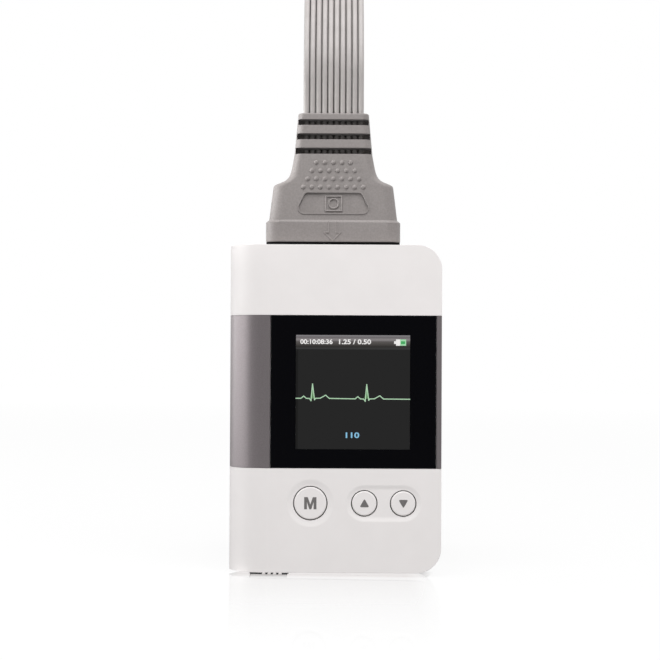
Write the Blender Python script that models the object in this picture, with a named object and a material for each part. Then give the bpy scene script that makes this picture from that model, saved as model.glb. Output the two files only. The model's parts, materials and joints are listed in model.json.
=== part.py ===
"""Holter monitor: a pocket ECG recorder with a battery spine, a square display,
three keys and a ten-lead plug on top.

Metres, +Z up along the recorder, screen towards -Y, origin in the middle of its base.
"""

import math

import bmesh
import bpy
from mathutils import Matrix, Vector

mm = 0.001

# Recorder body; its depth and height follow from the cell in its spine
body_width = 50.5 * mm
cap_height = 17.2 * mm
corner_radius = 5.8 * mm
rim_radius = 0.8 * mm
wall = 1.9 * mm

# Clearances
seat_gap = 0.3 * mm
seam_gap = 0.15 * mm
slide_gap = 0.2 * mm
overrun = 1.0 * mm
weld_distance = 0.0002 * mm

# Grey band and lens, flush in one recess round the body
band_bottom = 24.7 * mm
band_thickness = 0.8 * mm
lens_left_margin = 10.05 * mm
lens_right_margin = 1.25 * mm
lens_edge_radius = 0.2 * mm

# Display behind the lens
module_left_margin = 4.4 * mm
module_right_margin = 4.8 * mm
module_end_margin = 1.05 * mm
module_thickness = 1.3 * mm
module_back_inset = 1.0 * mm
module_back_step = 0.5 * mm
frame_wall = 1.2 * mm
frame_margin = 0.5 * mm
flex_width_share = 0.4
flex_thickness = 0.3 * mm
flex_foot = 4.0 * mm

# Main board and what it carries
board_depth = 7.9 * mm
board_thickness = 1.2 * mm
board_bottom = 9.2 * mm
board_head_gap = 11.5 * mm
board_corner = 1.5 * mm
post_radius = 1.5 * mm
post_inset = 3.5 * mm
socket_card_width = 14.0 * mm
socket_card_height = 15.0 * mm
socket_card_thickness = 1.8 * mm
card_wall = 0.4 * mm
card_width = 11.0 * mm
card_height = 15.0 * mm
card_thickness = 0.7 * mm
card_shoulder_shares = (0.7, 0.8)
card_head_share = 0.4
card_z = 29.0 * mm
coin_diameter = 9.5 * mm
coin_thickness = 2.1 * mm
coin_drop = 16.5 * mm
buzzer_diameter = 9.0 * mm
buzzer_thickness = 3.2 * mm
buzzer_hole = 2.0 * mm
buzzer_z = 16.5 * mm
shield_width_share = 0.5
shield_height = 6.5 * mm
shield_thickness = 2.0 * mm
shield_drop = 5.0 * mm

# Keys, in a row from the spine to the right side; their sizes are shares of that row
mode_key_offset = 10.05 * mm
down_key_margin = 9.0 * mm
key_level = 16.4 * mm
up_key_share = 0.5809
mode_key_share = 0.369
small_key_share = 0.2847
key_travel = 0.45 * mm
key_recess = 0.1 * mm
key_edge_radius = 0.35 * mm
key_height = 2.5 * mm
key_gap = 0.25 * mm
ear_width_share = 0.75
ear_reach = 1.15 * mm
ear_thickness = 0.6 * mm
stem_radius = 1.0 * mm
dish_margin = 1.45 * mm
dish_depth = 0.6 * mm
dish_curve_shares = ((0.0, 0.0), (0.25, 0.45), (0.6, 0.85), (1.0, 1.0))
switch_width = 3.0 * mm
switch_height = 3.5 * mm
switch_body = 2.0 * mm
switch_plunger_radius = 0.75 * mm
switch_plunger = 0.6 * mm
switch_free = 0.05 * mm

# Battery bay, cell and contacts in the spine
cell_diameter = 14.5 * mm
cell_length = 49.5 * mm
cell_edge_radius = 0.6 * mm
nub_diameter = 5.5 * mm
nub_height = 1.0 * mm
bay_gap = 0.35 * mm
divider_thickness = 1.15 * mm
sill_height = 3.0 * mm
head_height = 1.5 * mm
plate_width = 9.0 * mm
plate_depth = 6.0 * mm
plate_thickness = 0.4 * mm
spring_wire = 0.8 * mm
spring_base_radius = 4.6 * mm
spring_tip_radius = 2.6 * mm
spring_curls = 3.5
spring_steps = 10
spring_height = 5.0 * mm

# Battery door, hinged on a pin along the flat back
knuckle_radius = 1.1 * mm
pin_diameter = 0.9 * mm
pin_gap = 0.15 * mm
shelf_width = 1.5 * mm
shelf_thickness = 1.2 * mm
shelf_step = 0.2 * mm

# Latch in the base
latch_width = 4.9 * mm
latch_depth = 4.4 * mm
latch_offset = 0.55 * mm
latch_y = 3.6 * mm
latch_slot_width = 9.6 * mm
latch_travel = 2.3 * mm
latch_recess = 0.15 * mm
latch_pad = 1.15 * mm
latch_rail = 0.5 * mm
latch_ribs = 4
latch_rib_pitch = 1.33 * mm
latch_rib_width = 0.7 * mm
latch_rib_height = 0.6 * mm
latch_hook = 1.0 * mm

# Case screws, driven from the back
screw_side_inset = 4.85 * mm
screw_end_inset = 6.4 * mm
low_screw_offset = 4.6 * mm
low_screw_height = 5.6 * mm
head_screw_offset = 1.75 * mm
head_screw_drop = 13.0 * mm
screw_shank = 1.8 * mm
screw_head = 3.4 * mm
screw_head_height = 1.0 * mm
screw_hole = 2.1 * mm
screw_bore = 3.9 * mm
screw_recess = 0.3 * mm
screw_reach = 4.0 * mm
screw_cross_width = 0.5 * mm
screw_cross_length = 2.0 * mm
screw_cross_depth = 0.5 * mm
boss_radius = 2.2 * mm
boss_root = 0.4 * mm

# Lead socket in the top of the body, and the nose of the plug in it
plug_x = -0.7 * mm
socket_width_share = 0.594
socket_depth = 10.0 * mm
socket_flange = 1.0 * mm
socket_height = 9.7 * mm
socket_floor = 1.7 * mm
socket_wall = 2.0 * mm
nose_depth = 6.0 * mm
nose_hold = 2.75 * mm
nose_wall = 2.0 * mm
tongue_thickness = 1.6 * mm
tongue_height = 4.5 * mm
contact_count = 10
contact_width_share = 0.45
contact_height = 0.15 * mm

# Plug overmould: skirt, body, shoulders and boot
plug_gap = 0.25 * mm
plug_height = 30.85 * mm
skirt_reach = 1.1 * mm
skirt_depth = 13.0 * mm
skirt_height = 5.5 * mm
skirt_chamfer = 0.4 * mm
skirt_ledge = 0.75 * mm
plug_base_depth = 12.0 * mm
shoulder_height = 13.6 * mm
shoulder_lean = 1.1 * mm
neck_height = 21.2 * mm
neck_flare = 0.85 * mm
boot_wall = 1.13 * mm
boot_top_depth = 8.8 * mm
boot_top_radius = 0.5 * mm
plug_corner_radius = 3.0 * mm
boot_corner_radius = 1.2 * mm
shoulder_curve_shares = ((0.0, 1.0), (0.05, 0.92), (0.1, 0.68), (0.14, 0.46), (0.25, 0.31),
                         (0.36, 0.22), (0.45, 0.17), (0.63, 0.09), (0.85, 0.03), (1.0, 0.0))
relief_slot_heights = (21.25 * mm, 24.75 * mm, 28.05 * mm)
relief_slot_height = 1.3 * mm
relief_slot_end = 0.45 * mm
relief_core = 0.2 * mm
panel_bottom = 6.75 * mm
panel_height = 5.0 * mm
panel_bottom_width = 16.7 * mm
panel_top_width = 12.0 * mm
panel_depth = 0.35 * mm
grip_rows = (8, 7, 6, 5)
grip_bottom = 13.35 * mm
grip_row_pitch = 1.97 * mm
grip_pitch = 2.0 * mm
grip_radius = 0.52 * mm
grip_height = 0.3 * mm
grip_steps = 8

# Ten leads: a flat row out of the boot, gathered to a round bundle behind the recorder
lead_count = 10
lead_diameter = 1.4 * mm
lead_pitch = 1.46 * mm
lead_valley = 0.3 * mm
bundle_diameter = 5.4 * mm
bundle_rings = 24
gather_shares = (0.38, 0.62)
lobe_angle = math.radians(35)
coil_x = 0.4 * mm
coil_y = 51.0 * mm
coil_radius = 25.0 * mm
coil_pitch = 5.9 * mm
coil_layers = 4
coil_start = math.radians(90)
coil_end = math.radians(30)
coil_steps = 24
route_steps = 16
bundle_arch = (
    (0.0, 5.9 * mm), (1.0 * mm, 16.9 * mm), (12.0 * mm, 32.9 * mm), (36.5 * mm, 40.9 * mm),
    (61.0 * mm, 32.4 * mm), (71.5 * mm, 12.9 * mm))
bundle_fall = (
    (0.0, 74.5 * mm, 98.0 * mm), (3.5 * mm, 75.5 * mm, 74.0 * mm),
    (11.0 * mm, 76.0 * mm, 53.0 * mm), (16.8 * mm, 76.0 * mm, 36.0 * mm),
    (15.4 * mm, 76.0 * mm, 25.5 * mm))

# Snap connectors at the far ends, in two rows on the floor
snap_y = 101.0 * mm
snap_row_pitch = 15.5 * mm
snap_x = 1.0 * mm
snap_pitch = 5.4 * mm
snap_radius = 4.25 * mm
snap_height = 3.4 * mm
snap_edge_radius = 0.7 * mm
snap_socket_radius = 1.9 * mm
snap_socket_depth = 1.7 * mm
snap_neck_length = 7.2 * mm
snap_neck_radius = 1.5 * mm
snap_neck_tip_radius = 1.1 * mm
tail_trunk = 5.0 * mm
tail_spread = 1.0 * mm
tail_straight = 2.0 * mm
tail_points = 9

# Smoothness
round_steps = 24
spine_steps = 20
corner_steps = 6
snap_steps = 16
edge_steps = 2
section_steps = 4
sharp_angle = math.radians(35)

# Derived places
half_width = body_width / 2
half_depth = cell_diameter / 2 + bay_gap + wall
front_y = -half_depth
spine_x = half_depth - half_width
contact_stack = seat_gap + plate_thickness + seat_gap
cell_bottom = sill_height + contact_stack + spring_height + seat_gap
cell_top = cell_bottom + cell_length
band_top = cell_top + nub_height + contact_stack
band_height = band_top - band_bottom
body_height = band_top + cap_height
band_recess = band_thickness + seat_gap
lens_right = half_width - lens_right_margin
lens_left = lens_left_margin - half_width
lens_back = front_y + band_thickness
module_left = lens_left + module_left_margin
module_right = lens_right - module_right_margin
module_width = module_right - module_left
module_height = band_height - 2 * module_end_margin
display_x = (module_left + module_right) / 2
display_z = band_bottom + band_height / 2
module_front = lens_back + seat_gap
module_back = module_front + module_thickness
board_front = front_y + board_depth
board_back = board_front + board_thickness
inner_front = front_y + wall
inner_back = half_depth - wall
bay_radius = cell_diameter / 2 + bay_gap
divider_left = spine_x + bay_radius
divider_right = divider_left + divider_thickness
board_left = divider_right + seat_gap
board_right = half_width - wall - seat_gap
board_middle = (board_left + board_right) / 2
board_top = body_height - board_head_gap
coin_z = board_top - coin_drop
shield_z = board_top - shield_drop
shield_width = (board_right - board_left) * shield_width_share
part_front = -seat_gap / 2
part_back = seat_gap / 2
hinge_x = divider_right
hinge_y = half_depth - knuckle_radius
door_edge = hinge_x + knuckle_radius + seat_gap
door_bottom = sill_height + seat_gap
door_top = band_top - seat_gap
mode_x = spine_x + mode_key_offset
down_x = half_width - down_key_margin
key_row = down_x - mode_x
mode_switch_shift = board_left + seat_gap + switch_width / 2 - mode_x
latch_x = spine_x + latch_offset
socket_width = body_width * socket_width_share
socket_bottom = body_height - socket_height
nose_width = socket_width - 2 * socket_wall
tongue_width = nose_width - 2 * nose_wall
contact_pitch = tongue_width / (contact_count + 1)
contact_width = contact_pitch * contact_width_share
skirt_width = socket_width + 2 * skirt_reach
plug_base_width = skirt_width - 2 * skirt_ledge
shoulder_width = plug_base_width - 2 * shoulder_lean
boot_top_width = lead_pitch * (lead_count - 1) + lead_diameter + 2 * boot_wall
neck_width = boot_top_width + 2 * neck_flare
plug_bottom = body_height + plug_gap
plug_top = plug_bottom + plug_height
socket_top = body_height - seat_gap
latch_top = latch_recess + latch_rib_height + latch_pad
lead_row_start = plug_top + seat_gap

# Keys: name, centre across, centre up, diameter, and where the switch sits beside the centre
mode_key = ("mode", mode_x, key_level, key_row * mode_key_share, mode_switch_shift)
up_key = ("up", mode_x + key_row * up_key_share, key_level, key_row * small_key_share, 0.0)
down_key = ("down", down_x, key_level, key_row * small_key_share, 0.0)
keys = (mode_key, up_key, down_key)

# Case screws: across and up
case_screws = ((half_width - screw_side_inset, screw_end_inset),
               (half_width - screw_side_inset, body_height - screw_end_inset),
               (divider_right + low_screw_offset, low_screw_height),
               (spine_x - head_screw_offset, body_height - head_screw_drop))


def new_material(name, colour, roughness, metallic=0.0):
    """A Principled material in plain colour."""
    made = bpy.data.materials.new(name)
    made.use_nodes = True
    shader = made.node_tree.nodes["Principled BSDF"]
    shader.inputs["Base Color"].default_value = (*colour, 1.0)
    shader.inputs["Roughness"].default_value = roughness
    shader.inputs["Metallic"].default_value = metallic
    made.diffuse_color = (*colour, 1.0)
    return made


def arc(centre, radius, start, end, steps):
    """Points of an arc in the plane, from one angle to the other."""
    angles = [start + (end - start) * step / steps for step in range(steps + 1)]
    return [(centre[0] + radius * math.cos(a), centre[1] + radius * math.sin(a)) for a in angles]


def rounded_rectangle(width, height, radius, steps, centre=(0.0, 0.0)):
    """Outline with four round corners, anticlockwise."""
    across, up = width / 2 - radius, height / 2 - radius
    corners = ((across, up, 0), (-across, up, 1), (-across, -up, 2), (across, -up, 3))
    points = []
    for u, v, quarter in corners:
        start = quarter * math.pi / 2
        middle = (centre[0] + u, centre[1] + v)
        points += arc(middle, radius, start, start + math.pi / 2, steps)
    return points


def body_outline(inset):
    """The D of the body seen from above: flat faces and a half-round spine."""
    half = half_depth - inset
    right = half_width - inset
    spine = arc((spine_x, 0.0), half, math.pi / 2, 3 * math.pi / 2, spine_steps)
    return [(right, -half), (right, half)] + spine


def prism_mesh(outline, low, high, axis="Z"):
    """A straight prism on an outline, along one axis."""
    order = {"X": (2, 0, 1), "Y": (0, 2, 1), "Z": (0, 1, 2)}[axis]
    mesh = bmesh.new()
    rings = []
    for level in (low, high):
        ring = []
        for u, v in outline:
            numbers = (u, v, level)
            ring.append(mesh.verts.new([numbers[i] for i in order]))
        rings.append(ring)
    bridge(mesh, rings)
    return mesh


def bridge(mesh, rings, cap=True):
    """Quads between each pair of rings, with the two end rings closed."""
    count = len(rings[0])
    for lower, upper in zip(rings, rings[1:]):
        for i in range(count):
            j = (i + 1) % count
            mesh.faces.new((lower[i], lower[j], upper[j], upper[i]))
    if cap:
        mesh.faces.new(rings[0])
        mesh.faces.new(rings[-1])
    bmesh.ops.recalc_face_normals(mesh, faces=mesh.faces)


def box_mesh(low, high):
    """A box between two corners."""
    outline = ((low[0], low[1]), (high[0], low[1]), (high[0], high[1]), (low[0], high[1]))
    return prism_mesh(outline, low[2], high[2])


def turned_mesh(profile, centre, axis="Z", steps=round_steps):
    """A solid turned about an axis; the profile is (radius, along) from one pole to the other."""
    order = {"X": (2, 0, 1), "Y": (0, 2, 1), "Z": (0, 1, 2)}[axis]
    mesh = bmesh.new()
    rings = []
    for radius, along in profile:
        ring = []
        for u, v in arc((0.0, 0.0), radius, 0.0, 2 * math.pi, steps)[:-1]:
            numbers = (u, v, along)
            place = Vector([numbers[i] for i in order]) + Vector(centre)
            ring.append(mesh.verts.new(place))
        rings.append(ring)
    bridge(mesh, rings)
    return mesh


def cylinder_mesh(radius, low, high, centre, axis="Z", steps=round_steps):
    """A plain cylinder along an axis."""
    return turned_mesh(((radius, low), (radius, high)), centre, axis, steps)


def round_edges(mesh, edges, radius, steps):
    """Round the given edges of a mesh."""
    bmesh.ops.bevel(mesh, geom=edges, offset=radius, offset_type="OFFSET", segments=steps,
                    profile=0.5, affect="EDGES", clamp_overlap=True)


def sharp_edges(mesh):
    """Edges where two faces meet at a clear angle."""
    return [edge for edge in mesh.edges if edge.calc_face_angle(0.0) > sharp_angle]


def shade(mesh):
    """Smooth faces, with the true edges kept sharp."""
    mesh.shade_smooth()
    mesh.set_sharp_from_angle(angle=sharp_angle)


def make_object(name, mesh, material):
    """Turn a bmesh into a named object in the scene."""
    data = bpy.data.meshes.new(name)
    mesh.to_mesh(data)
    mesh.free()
    if material:
        data.materials.append(material)
    shade(data)
    made = bpy.data.objects.new(name, data)
    bpy.context.scene.collection.objects.link(made)
    return made


def weld(data):
    """Close the hairline slits that rounding leaves along a cut."""
    mesh = bmesh.new()
    mesh.from_mesh(data)
    bmesh.ops.remove_doubles(mesh, verts=mesh.verts, dist=weld_distance)
    bmesh.ops.dissolve_degenerate(mesh, edges=mesh.edges, dist=weld_distance)
    mesh.to_mesh(data)
    mesh.free()


def combine(target, tool_mesh, operation):
    """Apply one Boolean with a tool that is then removed."""
    tool = make_object("tool", tool_mesh, None)
    step = target.modifiers.new("step", "BOOLEAN")
    step.operation = operation
    step.solver = "EXACT"
    step.object = tool
    graph = bpy.context.evaluated_depsgraph_get()
    result = bpy.data.meshes.new_from_object(target.evaluated_get(graph))
    weld(result)
    target.modifiers.clear()
    old = target.data
    target.data = result
    result.name = target.name
    bpy.data.meshes.remove(old)
    old_tool = tool.data
    bpy.data.objects.remove(tool)
    bpy.data.meshes.remove(old_tool)
    shade(target.data)
    return target


def cut(target, tool_mesh):
    return combine(target, tool_mesh, "DIFFERENCE")


def join(target, tool_mesh):
    return combine(target, tool_mesh, "UNION")


def merged(meshes):
    """Several separate closed shapes in one tool."""
    whole = bmesh.new()
    for mesh in meshes:
        data = bpy.data.meshes.new("part")
        mesh.to_mesh(data)
        mesh.free()
        whole.from_mesh(data)
        bpy.data.meshes.remove(data)
    return whole


def body_block():
    """The full outer form: half-round spine, two round corners and a soft rim."""
    mesh = prism_mesh(body_outline(0.0), 0.0, body_height)
    side = [edge for edge in mesh.edges
            if all(vert.co.x > half_width - rim_radius for vert in edge.verts)
            and abs(edge.verts[0].co.y - edge.verts[1].co.y) > half_depth]
    round_edges(mesh, side, corner_radius, corner_steps)
    round_edges(mesh, sharp_edges(mesh), rim_radius, edge_steps)
    return mesh


def electronics_room():
    """The hollow to the right of the battery bay, with the body's round corners."""
    low = (divider_right, inner_front, wall)
    high = (half_width - wall, inner_back, body_height - wall)
    mesh = box_mesh(low, high)
    side = [edge for edge in mesh.edges
            if all(vert.co.x > high[0] - overrun for vert in edge.verts)
            and abs(edge.verts[0].co.y - edge.verts[1].co.y) > half_depth]
    round_edges(mesh, side, corner_radius - wall, corner_steps)
    return mesh


def spine_head_room():
    """The hollow above the battery bay, open to the electronics room."""
    half = half_depth - wall
    right = divider_right + overrun
    spine = arc((spine_x, 0.0), half, math.pi / 2, 3 * math.pi / 2, spine_steps)
    outline = [(right, -half), (right, half)] + spine
    return prism_mesh(outline, band_top + head_height, body_height - wall)


def band_ring(inset, low, high):
    """What lies outside the body's outline at an inset: the band's recess as a cutter."""
    outer = body_outline(-overrun)
    inner = body_outline(inset)
    mesh = bmesh.new()
    loops = []
    for outline, level in ((outer, low), (outer, high), (inner, high), (inner, low)):
        loops.append([mesh.verts.new((u, v, level)) for u, v in outline])
    count = len(outer)
    for first, second in zip(loops, loops[1:] + loops[:1]):
        for i in range(count):
            j = (i + 1) % count
            mesh.faces.new((first[i], first[j], second[j], second[i]))
    bmesh.ops.recalc_face_normals(mesh, faces=mesh.faces)
    return mesh


def socket_opening():
    """The mouth for the lead socket through the top wall."""
    across = socket_width / 2 + seat_gap
    deep = socket_depth / 2 + seat_gap
    low = (plug_x - across, -deep, body_height - wall - overrun)
    return box_mesh(low, (plug_x + across, deep, body_height + overrun))


def stadium(length, radius):
    """A slot outline with round ends, lying along X."""
    half = length / 2 - radius
    right = arc((half, 0.0), radius, -math.pi / 2, math.pi / 2, round_steps // 2)
    left = arc((-half, 0.0), radius, math.pi / 2, 3 * math.pi / 2, round_steps // 2)
    return right + left


def dish_mesh(x, z, spread, radius):
    """A dished hollow in the front face; spread is the distance between its end centres."""
    mesh = bmesh.new()
    rings = []
    top = [(-overrun, radius)]
    fall = [(dish_depth * down, radius - dish_margin * inwards)
            for inwards, down in dish_curve_shares]
    for down, reach in top + fall:
        outline = stadium(spread + 2 * reach, reach)
        rings.append([mesh.verts.new((x + u, front_y + down, z + v)) for u, v in outline])
    for ring in rings:
        if spread == 0:
            half = round_steps // 2
            mesh.verts.remove(ring[half + 1])
            mesh.verts.remove(ring[-1])
            ring.pop(half + 1)
            ring.pop()
    bridge(mesh, rings)
    return mesh


def cut_key_places(housing):
    """Dishes, key holes and the pockets for the keys' ears."""
    name, x, z, diameter, shift = mode_key
    cut(housing, dish_mesh(x, z, 0.0, diameter / 2 + dish_margin))
    middle = (up_key[1] + down_key[1]) / 2
    spread = down_key[1] - up_key[1]
    cut(housing, dish_mesh(middle, up_key[2], spread, up_key[3] / 2 + dish_margin))
    for name, x, z, diameter, shift in keys:
        radius = diameter / 2
        hole_end = front_y + key_recess + key_height + key_travel + seat_gap
        cut(housing, cylinder_mesh(radius + key_gap, front_y - overrun, hole_end, (x, 0.0, z), "Y"))
        across = diameter * ear_width_share / 2 + seat_gap
        up = radius + ear_reach + seat_gap
        back = inner_front + seat_gap + ear_thickness + key_travel + seat_gap
        cut(housing, box_mesh((x - across, inner_front - slide_gap, z - up),
                              (x + across, back, z + up)))


def display_pocket():
    """Where the display module sits, from the recess into the front wall."""
    across = module_width / 2 + seat_gap
    up = module_height / 2 + seat_gap
    return box_mesh((display_x - across, front_y, display_z - up),
                    (display_x + across, module_back + seat_gap, display_z + up))


def add_bosses(housing, low, high):
    """Screw bosses between two depths."""
    for x, z in case_screws:
        join(housing, cylinder_mesh(boss_radius, low, high, (x, 0.0, z), "Y", round_steps // 2))


def bore_screws(housing, low, high, diameter):
    for x, z in case_screws:
        cut(housing, cylinder_mesh(diameter / 2, low, high, (x, 0.0, z), "Y", round_steps // 2))


def front_housing(material):
    """Front shell with the key dishes, the display window and half of the battery trough."""
    housing = make_object("front_housing", body_block(), material)
    far = body_width
    cut(housing, box_mesh((-far, part_front, -far), (far, far, body_height + far)))
    cut(housing, electronics_room())
    cut(housing, spine_head_room())
    cut(housing, cylinder_mesh(bay_radius, sill_height, band_top, (spine_x, 0.0, 0.0)))
    cut(housing, band_ring(band_recess, band_bottom, band_top))
    cut(housing, display_pocket())
    cut_key_places(housing)
    add_bosses(housing, inner_front - boss_root, part_front)
    bore_screws(housing, -screw_reach - seat_gap, half_depth, screw_hole)
    cut(housing, socket_opening())
    return housing


def door_opening():
    """All that the battery door fills, leaving the divider between bay and electronics."""
    far = body_width
    ledge = hinge_y - knuckle_radius - seat_gap - shelf_step
    outline = ((-far, -overrun), (divider_left, -overrun), (divider_left, ledge),
               (door_edge, ledge), (door_edge, far), (-far, far))
    return prism_mesh(outline, sill_height, band_top)


def hinge_shelf():
    """The rib that closes the electronics room behind the door's knuckle."""
    top = hinge_y - knuckle_radius - seat_gap
    bottom = top - shelf_thickness
    left = divider_left + shelf_step
    turn, right = door_edge + shelf_step, door_edge + shelf_width
    root = inner_back + shelf_step
    outline = ((left, bottom), (right, bottom), (right, root), (turn, root), (turn, top), (left, top))
    return prism_mesh(outline, sill_height - shelf_step, band_top + shelf_step)


def cut_latch_slot(housing):
    """The slot in the base, its rail grooves and the way up for the hook."""
    across = latch_slot_width / 2
    deep = latch_depth / 2 + slide_gap
    roof = latch_top + seat_gap
    cut(housing, box_mesh((spine_x - across, latch_y - deep, -overrun),
                          (spine_x + across, latch_y + deep, roof)))
    rail = deep + latch_rail
    rail_low = latch_top - latch_pad / 2 - slide_gap
    cut(housing, box_mesh((spine_x - across, latch_y - rail, rail_low),
                          (spine_x + across, latch_y + rail, roof)))
    hook = latch_hook / 2 + slide_gap
    cut(housing, box_mesh((latch_x - hook - latch_travel - slide_gap, latch_y - hook, latch_recess),
                          (latch_x + hook + slide_gap, latch_y + hook, sill_height + overrun)))


def board_posts():
    """Centres of the posts that hold the main board from behind."""
    left, right = board_left + post_inset, board_right - post_inset
    low, high = board_bottom + post_inset, board_top - post_inset
    return ((left, low), (right, low), (left, high), (right, high))


def rear_housing(material):
    """Rear shell, open for the battery door, with the screw bosses and board posts."""
    housing = make_object("rear_housing", body_block(), material)
    far = body_width
    cut(housing, box_mesh((-far, -far, -far), (far, part_back, body_height + far)))
    cut(housing, electronics_room())
    cut(housing, spine_head_room())
    cut(housing, band_ring(band_recess, band_bottom, band_top))
    cut(housing, door_opening())
    join(housing, hinge_shelf())
    add_bosses(housing, part_back, inner_back + boss_root)
    for x, z in board_posts():
        join(housing, cylinder_mesh(post_radius, board_back + seat_gap, inner_back + boss_root,
                                    (x, 0.0, z), "Y", round_steps // 2))
    bore_screws(housing, -half_depth, half_depth + overrun, screw_hole)
    head_seat = half_depth - screw_recess - screw_head_height - slide_gap
    bore_screws(housing, head_seat, half_depth + overrun, screw_bore)
    bore = pin_diameter / 2 + pin_gap
    cut(housing, cylinder_mesh(bore, -overrun, sill_height + overrun, (hinge_x, hinge_y, 0.0),
                               steps=round_steps // 2))
    cut(housing, cylinder_mesh(bore, band_top - overrun, band_top + head_height - seat_gap,
                               (hinge_x, hinge_y, 0.0), steps=round_steps // 2))
    cut_latch_slot(housing)
    cut(housing, socket_opening())
    return housing


def spine_arc(radius, start, end, level):
    """Arc round the spine that begins or ends at a given Y level near the side."""
    lean = math.asin(level / radius)
    first = math.pi - lean if start is None else start
    last = math.pi - lean if end is None else end
    steps = spine_steps // 2
    return arc((spine_x, 0.0), radius, first, last, steps)


def front_spine_band(material):
    """Band over the front of the spine, up to the lens."""
    right = lens_left - seam_gap
    outer = spine_arc(half_depth, None, 3 * math.pi / 2, part_front)
    inner = spine_arc(half_depth - band_thickness, 3 * math.pi / 2, None, part_front)
    outline = outer + [(right, front_y), (right, lens_back)] + inner
    low, high = band_bottom + seam_gap, band_top - seam_gap
    return make_object("spine_band", prism_mesh(outline, low, high), material)


def side_corner(inset, level, sign):
    """Outline round the right side's edge, from the face to a Y level on the side."""
    right = half_width - inset
    face = half_depth - inset
    radius = rim_radius - inset
    if radius <= 0:
        return [(right, sign * face)]
    centre = (right - radius, sign * (face - radius))
    steps = edge_steps * 2
    return arc(centre, radius, sign * math.pi / 2, 0.0, steps)


def side_band(material):
    """The narrow strip beside the lens, round the right side to the parting."""
    left = lens_right + seam_gap
    outer = [(left, front_y)] + side_corner(0.0, part_front, -1) + [(half_width, part_front)]
    inner_side = half_width - band_thickness
    inner = [(inner_side, part_front), (inner_side, lens_back), (left, lens_back)]
    low, high = band_bottom + seam_gap, band_top - seam_gap
    return make_object("side_band", prism_mesh(outer + inner, low, high), material)


def rear_band(material):
    """Band across the back, from the door's edge round the right side to the parting."""
    left = door_edge
    back = half_depth - band_thickness
    inner_side = half_width - band_thickness
    outer = [(left, half_depth)] + side_corner(0.0, part_back, 1) + [(half_width, part_back)]
    inner = [(inner_side, part_back), (inner_side, back), (left, back)]
    low, high = band_bottom + seam_gap, band_top - seam_gap
    return make_object("rear_band", prism_mesh(outer + inner, low, high), material)


def display_lens(material):
    """Black front lens, flush with the band."""
    mesh = box_mesh((lens_left, front_y, band_bottom + seam_gap),
                    (lens_right, lens_back, band_top - seam_gap))
    front = [edge for edge in mesh.edges if all(vert.co.y < front_y + lens_edge_radius
                                                for vert in edge.verts)]
    round_edges(mesh, front, lens_edge_radius, 1)
    return make_object("display_lens", mesh, material)


def display_module(material):
    """Glass of the display with its stepped back."""
    across, up = module_width / 2, module_height / 2
    step = module_back - module_back_step
    module = make_object("display_module", box_mesh(
        (display_x - across, module_front, display_z - up),
        (display_x + across, step, display_z + up)), material)
    across -= module_back_inset
    up -= module_back_inset
    return join(module, box_mesh((display_x - across, module_front + module_back_step, display_z - up),
                                 (display_x + across, module_back, display_z + up)))


def frame_sides():
    """Left, right, low and high of the frame that carries the display on the board."""
    left = board_left
    right = display_x + module_width / 2
    up = module_height / 2 - frame_margin
    return left, right, display_z - up, display_z + up


def display_frame(material):
    """Open frame between the display and the main board."""
    left, right, low, high = frame_sides()
    front, back = module_back + seat_gap, board_front - seat_gap
    frame = make_object("display_frame", box_mesh((left, front, low), (right, back, high)), material)
    inner_low = (left + frame_wall, front - overrun, low + frame_wall)
    return cut(frame, box_mesh(inner_low, (right - frame_wall, back + overrun, high - frame_wall)))


def display_flex(material):
    """Flat flex that folds from the display's back down to the board."""
    inside = frame_sides()[2] + frame_wall + seat_gap
    front, back = module_back + seat_gap, board_front - seat_gap
    foot = inside + flex_foot
    outline = ((front, foot), (front, inside), (back, inside), (back, foot),
               (back - flex_thickness, foot), (back - flex_thickness, inside + flex_thickness),
               (front + flex_thickness, inside + flex_thickness), (front + flex_thickness, foot))
    across = module_width * flex_width_share / 2
    mesh = prism_mesh(outline, display_x - across, display_x + across, "X")
    return make_object("display_flex", mesh, material)


def main_board(material):
    """Main circuit board behind the display."""
    mesh = box_mesh((board_left, board_front, board_bottom), (board_right, board_back, board_top))
    corners = [edge for edge in mesh.edges
               if abs(edge.verts[0].co.y - edge.verts[1].co.y) > board_thickness / 2]
    round_edges(mesh, corners, board_corner, 3)
    return make_object("main_board", mesh, material)


def key_button(key, material):
    """A key cap with its ears behind the wall and its stem over the switch."""
    name, x, z, diameter, shift = key
    radius = diameter / 2
    top = front_y + key_recess
    profile = [(radius - key_edge_radius, top)]
    profile += [(radius - key_edge_radius + u, top + key_edge_radius - v) for u, v in
                arc((0.0, 0.0), key_edge_radius, math.pi / 4, 0.0, 1)]
    profile.append((radius, top + key_height))
    button = make_object(name + "_button", turned_mesh(profile, (x, 0.0, z), "Y"), material)
    ear_front = inner_front + seat_gap
    ear_back = ear_front + ear_thickness
    across, up = diameter * ear_width_share / 2, radius + ear_reach
    join(button, box_mesh((x - across, ear_front, z - up), (x + across, ear_back, z + up)))
    tip = board_front - seat_gap - switch_body - switch_plunger - key_travel - switch_free
    join(button, cylinder_mesh(stem_radius, ear_front + ear_thickness / 2, tip, (x + shift, 0.0, z),
                               "Y", round_steps // 2))
    set_origin(button, (x, front_y, z))
    return button


def key_switch(key, material):
    """The small switch on the board under a key."""
    name, x, z, diameter, shift = key
    centre = x + shift
    back = board_front - seat_gap
    front = back - switch_body
    switch = make_object(name + "_switch", box_mesh(
        (centre - switch_width / 2, front, z - switch_height / 2),
        (centre + switch_width / 2, back, z + switch_height / 2)), material)
    return join(switch, cylinder_mesh(switch_plunger_radius, front - switch_plunger,
                                      back - switch_body / 2, (centre, 0.0, z), "Y",
                                      round_steps // 2))


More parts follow.
